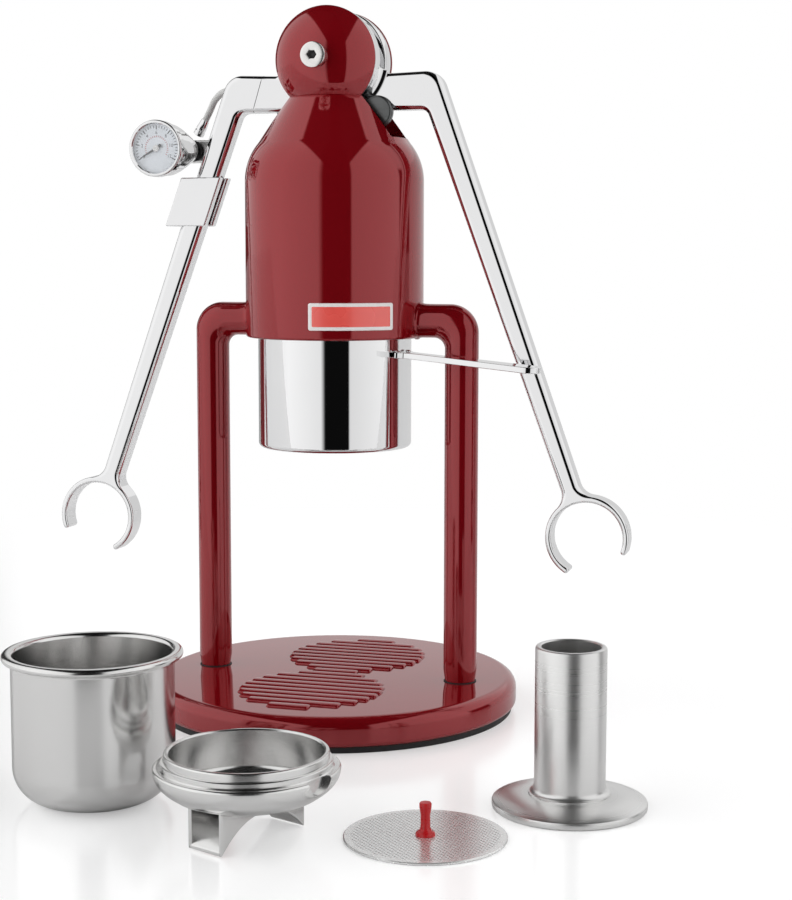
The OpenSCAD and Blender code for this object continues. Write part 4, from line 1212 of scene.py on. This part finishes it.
    def dial(self) -> None:
        """Makes the card and its two scales with plain numbers."""
        r = self.bezel_r - self.case_gap
        card = lathe([[0, -0.5], [r, -0.5], [r, -0.02], [r - 0.15, 0], [0, 0]], segments=96)
        self.add("gauge_card", card, CARD, "gauge_dial")
        marks = self.scale(self.marks)
        long_marks = marks[::5]
        black = joined([self.ticks(marks, 9.0, 10.1, 0.26), self.ticks(long_marks, 8.3, 10.1, 0.42)])
        self.add("dial_marks", black, INK)
        self.add("dial_inner_marks", self.ticks(self.scale(self.inner_marks), 4.9, 5.7, 0.26), RED_INK)
        digits = joined(self.number(str(2 * k), a) for k, a in enumerate(long_marks))
        self.add("dial_numbers", digits, INK)

    def hand(self) -> None:
        """Makes the hand and its boss."""
        upper = np.array([[self.needle_len, 0.14], [0, 0.55], [-1.2, 0.55], [-self.needle_tail, 0.75]])
        outline = np.concatenate([(upper * [1, -1])[::-1], upper])
        at = (0, 0, self.needle_rise)
        hand = prism(outline, 0, 0.4).placed(at, turn_z(self.needle_angle))
        self.add("gauge_hand_bar", hand, HAND, "gauge_needle", rides=Rides.NEEDLE)
        boss = [[1.45, -0.2], [1.45, 0.45], [1.2, 0.6], [0.5, 0.62], [0.45, 0.5], [0, 0.5]]
        self.add("gauge_hand_boss", lathe(boss, segments=40).placed(at), HAND_HUB, rides=Rides.NEEDLE)

    def clamp(self) -> None:
        """Makes the clamp round the arm, its screws and the bracket with the gauge block."""
        c, d, wall, slot = self.channel / 2, self.arm_depth / 2, self.clamp_wall, self.clamp_slot / 2
        out, h = c + self.clamp_out, d + wall
        jaw = np.array([[c, d], [c, slot], [c + wall, slot], [c + wall, h], [-out, h]])
        section = np.concatenate([(jaw * [1, -1])[::-1], [[-c, -d], [-c, d]], jaw])
        low, high = -self.clamp_pos - self.clamp_len / 2, -self.clamp_pos + self.clamp_len / 2
        lean = turn_y(self.lean)
        collar = prism(section, low, high)
        collar.points[:, 2] += collar.points[:, 0] * math.tan(math.radians(self.lean))
        collar = collar.placed(self.elbow, lean)
        add_piece("clamp_collar", collar, PLATE, Rides.LEFT_ARM, "arm_clamp", bevel=0.6)
        face = h + self.bracket_t
        bracket = block((self.bracket_in - out, h, low), (0, face, high + self.bracket_rise))
        front, w, off = -self.stem_len - self.ring_t, self.nut_half, self.stem_off
        nut = block((off - w, -w, front - self.nut_t), (off + self.nut_reach, w, front))
        both = joined([bracket.placed(self.elbow, lean), nut.placed(self.centre, FACING_FRONT)])
        add_piece("gauge_bracket", both, MACHINED, Rides.LEFT_ARM, "gauge_block", bevel=0.7)
        head = lathe([[2.7, 0], [2.7, 1.2], [2.3, 1.7], [1.2, 1.8], [1.1, 0.9], [0, 0.9]], segments=32)
        seats = [(self.bolt_x, face, -self.clamp_pos + s * self.bolt_gap) for s in (-1, 1)]
        pair = joined(head.placed(seat, turn_x(-90)).placed(self.elbow, lean) for seat in seats)
        add_piece("clamp_bolts", pair, MACHINED, Rides.LEFT_ARM, "clamp_screws")

    def hose(self) -> None:
        """Makes the hose along its route and a stepped ferrule at each end."""
        path = smooth_path(self.route)
        hose = pipe(path, np.full(len(path), self.hose_r), 20)
        add_piece("gauge_line", hose, HOSE, Rides.LEFT_ARM, "gauge_hose")
        t = np.array([0, 0.02, 0.28, 0.3, 0.36, 0.38, 0.9, 1.0])[:, None]
        radii = self.ferrule_r * np.array([1.0, 1.1, 1.1, 0.95, 0.95, 1.05, 0.85, 0.72])
        ends = []
        for end, step in ((path[0], path[0] - path[1]), (path[-1], path[-1] - path[-2])):
            away = step / np.linalg.norm(step)
            ends.append(pipe(end + away * self.ferrule_len * (1 - t), radii, 28))
        add_piece("hose_sockets", joined(ends), PLATE, Rides.LEFT_ARM, "hose_ferrules")


@dataclass
class Basket:
    """The deep filter basket with its rolled rim."""

    place: Triple = (-44.5, -157.5, 0.0)
    bore: float = 29.6
    wall: float = 0.9
    height: float = 57.0
    rim_r: float = 33.8
    rim_t: float = 3.0
    corner: float = 14.0
    neck: float = 1.2
    mouth: float = 1.6
    steel: Finish = TurnedSteel("basket_steel", STEEL, 0.16, "steel", (-44.5, -157.5), 1900.0, 0.3)

    def build(self) -> None:
        """Makes the basket as one turned wall, from the middle of its floor round the rim and back."""
        r, w, c, h = self.bore, self.wall, self.corner, self.height
        t, n, m = self.rim_t, self.neck, self.mouth
        under = h - t - n
        cup = lathe([[0, 0]], arc(r + w - c, c, c, -90, 0, 16),
                    [[r + w, under]], arc(r + w + n, under, n, 180, 90, 5),
                    arc(self.rim_r - t / 2, h - t / 2, t / 2, -90, 90, 14), arc(r + m, h - m, m, 90, 180, 6),
                    arc(r + w - c, c, c - w, 0, -90, 16), [[0, w]], segments=200)
        add_piece("basket_cup", cup.placed(self.place), self.steel, Rides.BASKET, "filter_basket")


@dataclass
class Portafilter:
    """The open portafilter with its stepped rings, round skirt and double spout."""

    place: Triple = (27.0, -184.0, 0.0)
    radius: float = 30.4
    step_w: float = 1.2
    wall: float = 2.4
    skirt_r: float = 33.2
    skirt_z: float = 26.4
    skirt_edge: float = 1.0
    top: float = 31.6
    low: float = 12.6
    hub: float = 8.1
    notch_r: float = 6.2
    notch_angle: float = -19.0
    turn: float = 68.0
    spout_half: float = 21.5
    spout_w: float = 16.2
    spout_wall: float = 1.6
    spout_power: float = 2.2
    crown: float = 10.6
    steel: Finish = TurnedSteel("portafilter_steel", STEEL, 0.2, "steel", (27.0, -184.0), 1500.0, 0.3)

    def under(self) -> np.ndarray:
        """Radius and height of the round underside, a quarter of an ellipse from the hub to the skirt."""
        a = np.radians(np.linspace(0, 90, 25))
        reach, rise = self.skirt_r - self.hub, self.skirt_z - self.skirt_edge - self.low
        return np.column_stack([self.hub + reach * np.sin(a), self.low + rise * (1 - np.cos(a))])

    def bowl(self) -> Shell:
        """The bowl as one turned wall, from the middle of its underside round the rim and back."""
        r, n, t, z, e = self.radius, self.radius - self.step_w, self.top, self.skirt_z, self.skirt_edge
        bore, floor = n - self.wall + 0.6, self.low + self.wall + 1.0
        rings = [[r + 0.5, z - 0.1], [r, z + 0.35], [r, z + 1.9], [r - 0.3, z + 2.2],
                 [n, z + 2.3], [n, t - 0.8]]
        return lathe([[0, self.low]], self.under()[:-2], arc(self.skirt_r - e, z - e, e, 0, 75, 6), rings,
                     arc(n - 0.7, t - 0.7, 0.7, 0, 90, 5), [[bore + 0.5, t], [bore, t - 0.5]],
                     arc(bore - 2.5, floor + 2.5, 2.5, 0, -90, 8),
                     [[9.0, floor], [8.6, floor - 0.6], [0, floor - 0.6]], segments=200)

    def notch(self) -> Shell:
        """The round tool that takes the notch out of the skirt."""
        near, far, wide = self.radius + 0.1, self.radius + 9, self.notch_r
        tool = lathe([[0, near], [wide, near], [wide, far], [0, far]], segments=48)
        return tool.placed((0, 0, self.skirt_z + 0.8), turn_y(90))

    def spout(self) -> Shell:
        """Two chutes back to back: an arched floor between two side walls that reach up to the bowl.

        The floor's height at a distance x is crown (1 - (x / half)^power).

        Returns:
            The shell.
        """
        x = np.linspace(-self.spout_half, self.spout_half, 41)
        floor = self.crown * (1 - np.abs(x / self.spout_half) ** self.spout_power)
        roof = np.interp(np.abs(x), *self.under().T, left=self.low) + 0.6
        w, t = self.spout_w / 2, self.spout_wall
        sheet, side = (np.concatenate([np.column_stack([x, floor]), np.column_stack([x, over])[::-1]])
                       for over in (floor + t, roof))
        parts = [prism(sheet, -w + 0.2, w - 0.2), prism(side, -w, -w + t), prism(side, w - t, w)]
        return joined(parts).placed(turn=FACING_FRONT)

    def build(self) -> None:
        """Makes the bowl with a notch in its skirt, and the spout."""
        cut = (Cut.TAKE, self.notch().placed(self.place, turn_z(self.notch_angle)))
        mesh = combined("portafilter_cup", self.bowl().placed(self.place), [cut])
        add_piece("portafilter_cup", mesh, self.steel, Rides.PORTAFILTER, "portafilter_bowl", sharp=40)
        chutes = self.spout().placed(self.place, turn_z(self.turn))
        add_piece("portafilter_chutes", chutes, self.steel, Rides.PORTAFILTER, "portafilter_spout", bevel=0.5)


@dataclass
class Screen:
    """The flat dispersion screen with its red grip."""

    place: Triple = (87.5, -167.0, 0.0)
    radius: float = 29.1
    thick: float = 1.0
    steel: Finish = PerforatedSteel("screen_steel", (0.93, 0.93, 0.925), 0.24, "steel", (87.5, -167.0))
    grip: tuple = ((3.5, 0), (3.5, 0.7), (3.1, 1.3), (2.3, 1.7), (1.75, 3.0), (1.7, 7.5), (2.15, 10.0),
                   (2.2, 11.4), (1.9, 11.9), (0, 12))

    def build(self) -> None:
        """Makes the disc and the turned grip."""
        r, t = self.radius, self.thick
        disc = lathe([[0, 0], [r - 0.3, 0], [r, 0.25], [r, t - 0.3], [r - 0.35, t], [0, t]], segments=200)
        add_piece("screen_disc", disc.placed(self.place), self.steel, Rides.SCREEN, "dispersion_screen")
        grip = lathe(np.array(self.grip) + [0, t], segments=48)
        add_piece("screen_pull", grip.placed(self.place), GRIP, Rides.SCREEN, "screen_grip", sharp=50)


@dataclass
class Tamper:
    """The tamper: a shallow cone plate with an open tube on it."""

    place: Triple = (129.8, -117.7, 0.0)
    radius: float = 29.0
    edge: float = 3.0
    cone: float = 2.6
    tube_r: float = 13.3
    wall: float = 2.2
    height: float = 61.0
    foot: float = 2.2
    foot_rise: float = 0.5
    steel: Finish = TurnedSteel("tamper_steel", STEEL, 0.29, "steel", (129.8, -117.7), 1700.0, 0.4)

    def build(self) -> None:
        """Makes the plate and the tube."""
        r, e, top, h = self.radius, self.edge, self.edge + self.cone, self.height
        t, f, bore, low = self.tube_r, self.foot, self.tube_r - self.wall, top + self.foot_rise
        plate = lathe([[0, 0], [r - 0.6, 0], [r - 0.1, 0.4], [r, 0.9], [r, e - 0.8], [r - 0.2, e - 0.3],
                       [r - 0.7, e], [t + f, top], [0, top]], segments=200)
        add_piece("tamper_disc", plate.placed(self.place), self.steel, Rides.TAMPER, "tamper_plate")
        lip = [[t, h - 0.9], [t - 0.25, h - 0.3], [t - 0.8, h], [bore + 0.5, h], [bore, h - 0.4]]
        tube = lathe([[bore, top], [t + f, top], [t + f, low]], arc(t + f, low + f, f, -90, -180, 10), lip,
                     closed=True, segments=128)
        add_piece("tamper_stem", tube.placed(self.place), self.steel, Rides.TAMPER, "tamper_tube")


@dataclass
class InnerParts:
    """Nodes of the frame whose shape is right already and that only take a finish."""

    finishes: dict[str, Finish] = field(default_factory=lambda: {
        "base_mat": RUBBER, "leg_bolts": MACHINED, "rod_guide": MACHINED, "rod_bush": BRONZE,
        "axle": MACHINED, "axle_nut": PLATE, "right_crank_pin": MACHINED, "left_crank_pin": MACHINED,
        "right_link": MACHINED, "left_link": MACHINED, "piston_rod": MACHINED, "cross_pin": MACHINED,
        "piston_head": MACHINED, "piston_seal": SEAL})

    def dress(self) -> None:
        """Gives each node its finish."""
        for name, finish in self.finishes.items():
            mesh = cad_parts[name].data
            mesh.materials.clear()
            mesh.materials.append(finish.material())
            LOG.info("%s takes %s", name, finish.name)


@dataclass
class Studio:
    """Camera, floor and light. Angles run about the machine from its front, positive to the right."""

    camera: Triple = (245.0, -752.8, 206.5)
    heading: float = 16.05
    pitch: float = 6.47
    roll: float = 0.10
    focal: float = 1773.29
    frame_high: int = 900
    sensor: float = 36.0
    gap: Pair = (3.0, 38.0)
    gap_level: float = 0.004
    left_panel: float = -124.0
    right_panel: float = 108.0
    backdrop: Pair = (130.0, -150.0)
    backdrop_level: float = 0.70
    backdrop_top: float = 0.75
    backdrop_from: Pair = (120.0, 126.0)
    high_panel: Pair = (100.0, 108.0)
    high_from: Pair = (0.22, 0.3)
    high_level: float = 0.9
    soft: float = 2.0
    panel_slope: float = 1.9
    panel_low: float = 60.0
    low_fade: float = 4.0
    dark: float = 0.012
    diffuse: float = 2.3
    front_share: float = 0.15
    table_front: float = 300.0
    table_half: float = 6000.0
    table_drop: float = 0.05
    table_lift: float = 0.40
    table_polish: float = 0.1
    polish_blur: float = 0.12
    fade: Pair = (0.30, 0.62)
    lamp_at: Triple = (0.0, 0.1, 1.5)
    lamp_size: float = 1.6
    lamp_power: float = 1.5

    def build(self) -> None:
        """Sets up the studio."""
        bpy.context.scene.view_settings.view_transform = "Standard"
        self.set_camera()
        self.set_floor()
        self.set_world()
        self.set_lamp()

    def set_camera(self) -> None:
        """Places the camera: its -Z looks along the heading, and its frame is the photograph's."""
        data = bpy.data.cameras.new("view")
        data.sensor_width, data.lens = self.sensor, self.focal * self.sensor / self.frame_high
        data.clip_start, data.clip_end = 0.01, 100.0
        obj = shown("view", data)
        a, p = math.radians(self.heading), math.radians(self.pitch)
        ahead = np.array([-math.sin(a) * math.cos(p), math.cos(a) * math.cos(p), -math.sin(p)])
        right = np.cross(ahead, [0, 0, 1])
        right /= np.linalg.norm(right)
        up = np.cross(right, ahead)
        c, s = math.cos(math.radians(self.roll)), math.sin(math.radians(self.roll))
        right, up = c * right + s * up, c * up - s * right
        place = np.eye(4)
        place[:3, :3] = np.column_stack([right, up, -ahead])
        place[:3, 3] = np.array(self.camera) * MM
        obj.matrix_world = Matrix(place.tolist())
        bpy.context.scene.camera = obj

    def set_floor(self) -> None:
        """Makes a pale table that ends before the camera and fades to white with distance."""
        a = math.radians(self.heading)
        side, ahead = np.array([math.cos(a), math.sin(a)]), np.array([-math.sin(a), math.cos(a)])
        rows = np.concatenate([np.linspace(-self.table_front, 600, 20), np.linspace(800, 9000, 21)])
        u, v = np.meshgrid(np.linspace(-self.table_half, self.table_half, 41), rows)
        flat = u[..., None] * side + v[..., None] * ahead
        level = np.full((*u.shape, 1), -self.table_drop)
        obj = shown("floor", mesh_of("floor", grid(np.concatenate([flat, level], -1))))
        sketch = Sketch("pale_floor")
        where = sketch.place()
        sketch.tint(sketch.noise(where, Grain(6.0, 2.0, 0.0, 1.0)), (0.86, 0.86, 0.865), (0.88, 0.88, 0.88))
        distance = sketch.add("VectorMath", {0: where}, operation="LENGTH").outputs["Value"]
        seen = sketch.add("LightPath").outputs["Is Camera Ray"]
        sketch.feed(sketch.shader, {"Roughness": 0.2, "Specular IOR Level": 0.3, "Emission Color": WHITE,
                                    "Emission Strength": sketch.math("MULTIPLY", seen, self.table_lift)})
        metal = {"Base Color": WHITE, "Metallic": 1.0, "Roughness": self.polish_blur}
        shaders = {1: sketch.shader.outputs[0], 2: sketch.add("BsdfPrincipled", metal).outputs[0]}
        polish = sketch.add("MixShader", {0: self.table_polish, **shaders})
        fade = sketch.math("MULTIPLY", seen, sketch.spread(distance, 0.0, 1.0, *self.fade))
        shaders = {1: polish.outputs[0], 2: sketch.add("Emission").outputs[0]}
        sketch.feed(sketch.out, {0: sketch.add("MixShader", {0: fade, **shaders}).outputs[0]})
        obj.data.materials.append(sketch.made)

    def stops(self) -> list[Pair]:
        """Angle and level of each stop of the panels, once about the machine."""
        soft, back, (right, left) = self.soft, self.backdrop_level, self.backdrop
        start, end = self.gap
        return [(-180, back), (left - soft, back), (left, 0.04), (self.left_panel - soft, 0.03),
                (self.left_panel, 0.85), (-55, 1.05), (start - 3 * soft, 0.88),
                (start, self.gap_level), (end, self.gap_level), (end + soft, 0.80), (90, 0.95),
                (self.right_panel, 1.0), (self.right_panel + soft, 0.03), (right - soft, 0.03),
                (right, back), (180, back)]

    def set_world(self) -> None:
        """Makes the surroundings: plain light, a white ground for the camera, and panels for the gloss.

        Seen by glossy rays, two tall panels stand left and right of a dark gap at the camera, with
        narrow dark gaps before the white backdrop, under a dark ceiling.
        """
        world = bpy.data.worlds.new("studio")
        bpy.context.scene.world = world
        world.use_nodes = True
        nodes = Nodes(world.node_tree)
        op = nodes.math
        x, y, z = nodes.split(nodes.add("TexCoord").outputs["Generated"])
        turn = op("ADD", op("DIVIDE", op("ARCTAN2", x, op("MULTIPLY", y, -1.0)), 2 * math.pi), 0.5)
        ramp, stops = nodes.add("ValToRGB", {0: turn}), self.stops()
        elements = ramp.color_ramp.elements
        while len(elements) < len(stops):
            elements.new(0.5)
        for element, (angle, level) in zip(elements, stops):
            element.position = angle / 360 + 0.5
            element.color = (level, level, level, 1)
        centre = math.radians(sum(self.gap) / 2)
        aside = op("ADD", op("MULTIPLY", x, math.cos(centre)), op("MULTIPLY", y, math.sin(centre)))
        aside = op("ABSOLUTE", aside)

        def step(value: Socket, start: float, end: float) -> Socket:
            """A value that runs from 0 at start to 1 at end."""
            return nodes.spread(value, 0.0, 1.0, start, end)

        def under(top: object) -> Socket:
            """1 below a height and 0 above it, with a soft edge."""
            return step(op("SUBTRACT", top, z), -0.02, 0.04)

        behind = step(op("ABSOLUTE", op("SUBTRACT", turn, 0.5)), *(a / 360 for a in self.backdrop_from))
        backdrop = op("MULTIPLY", behind, under(self.backdrop_top))
        below = op("MAXIMUM", under(op("MULTIPLY", aside, self.panel_slope)), backdrop)
        lowest = [-math.sin(math.radians(a)) for a in (self.panel_low + self.low_fade, self.panel_low)]
        lit = op("MULTIPLY", below, step(z, *lowest))
        inside = op("ADD", op("MULTIPLY", lit, 1.0 - self.dark), self.dark)
        beside = op("ADD", op("MULTIPLY", aside, 1.0 - self.front_share), self.front_share)
        corner = step(turn, *(a / 360 + 0.5 for a in self.high_panel))
        high = op("MULTIPLY", step(z, *self.high_from), op("MULTIPLY", corner, self.high_level))
        level = op("MAXIMUM", ramp.outputs[0], high)
        softened = op("MULTIPLY", op("MULTIPLY", inside, beside), self.diffuse)
        lights = ((level, inside), (level, softened), (WHITE, 1.0))
        panels, plain, white = (nodes.add("Background", {0: c, 1: s}).outputs[0] for c, s in lights)
        path = nodes.add("LightPath").outputs
        shiny = op("MINIMUM", op("ADD", path["Is Glossy Ray"], path["Is Transmission Ray"]), 1.0)
        gloss = nodes.add("MixShader", {0: shiny, 1: plain, 2: panels}).outputs[0]
        seen = nodes.add("MixShader", {0: path["Is Camera Ray"], 1: gloss, 2: white}).outputs[0]
        nodes.add("OutputWorld", {0: seen})

    def set_lamp(self) -> None:
        """Adds a large soft lamp above, which only lights."""
        data = bpy.data.lights.new("top_light", "AREA")
        data.size, data.energy = self.lamp_size, self.lamp_power
        obj = shown("top_light", data)
        obj.location = self.lamp_at
        obj.visible_camera, obj.visible_glossy = False, False


def main() -> None:
    """Builds the studio and every sub-assembly."""
    logging.basicConfig(level=logging.INFO, format="%(name)s: %(message)s")
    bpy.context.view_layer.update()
    Studio().build()
    kinds = (Base, Legs, Body, AxleCap, Sleeve, Arms, Gauge, Basket, Portafilter, Screen, Tamper)
    for kind in kinds:
        kind().build()
    InnerParts().dress()


if __name__ == "__main__":
    main()
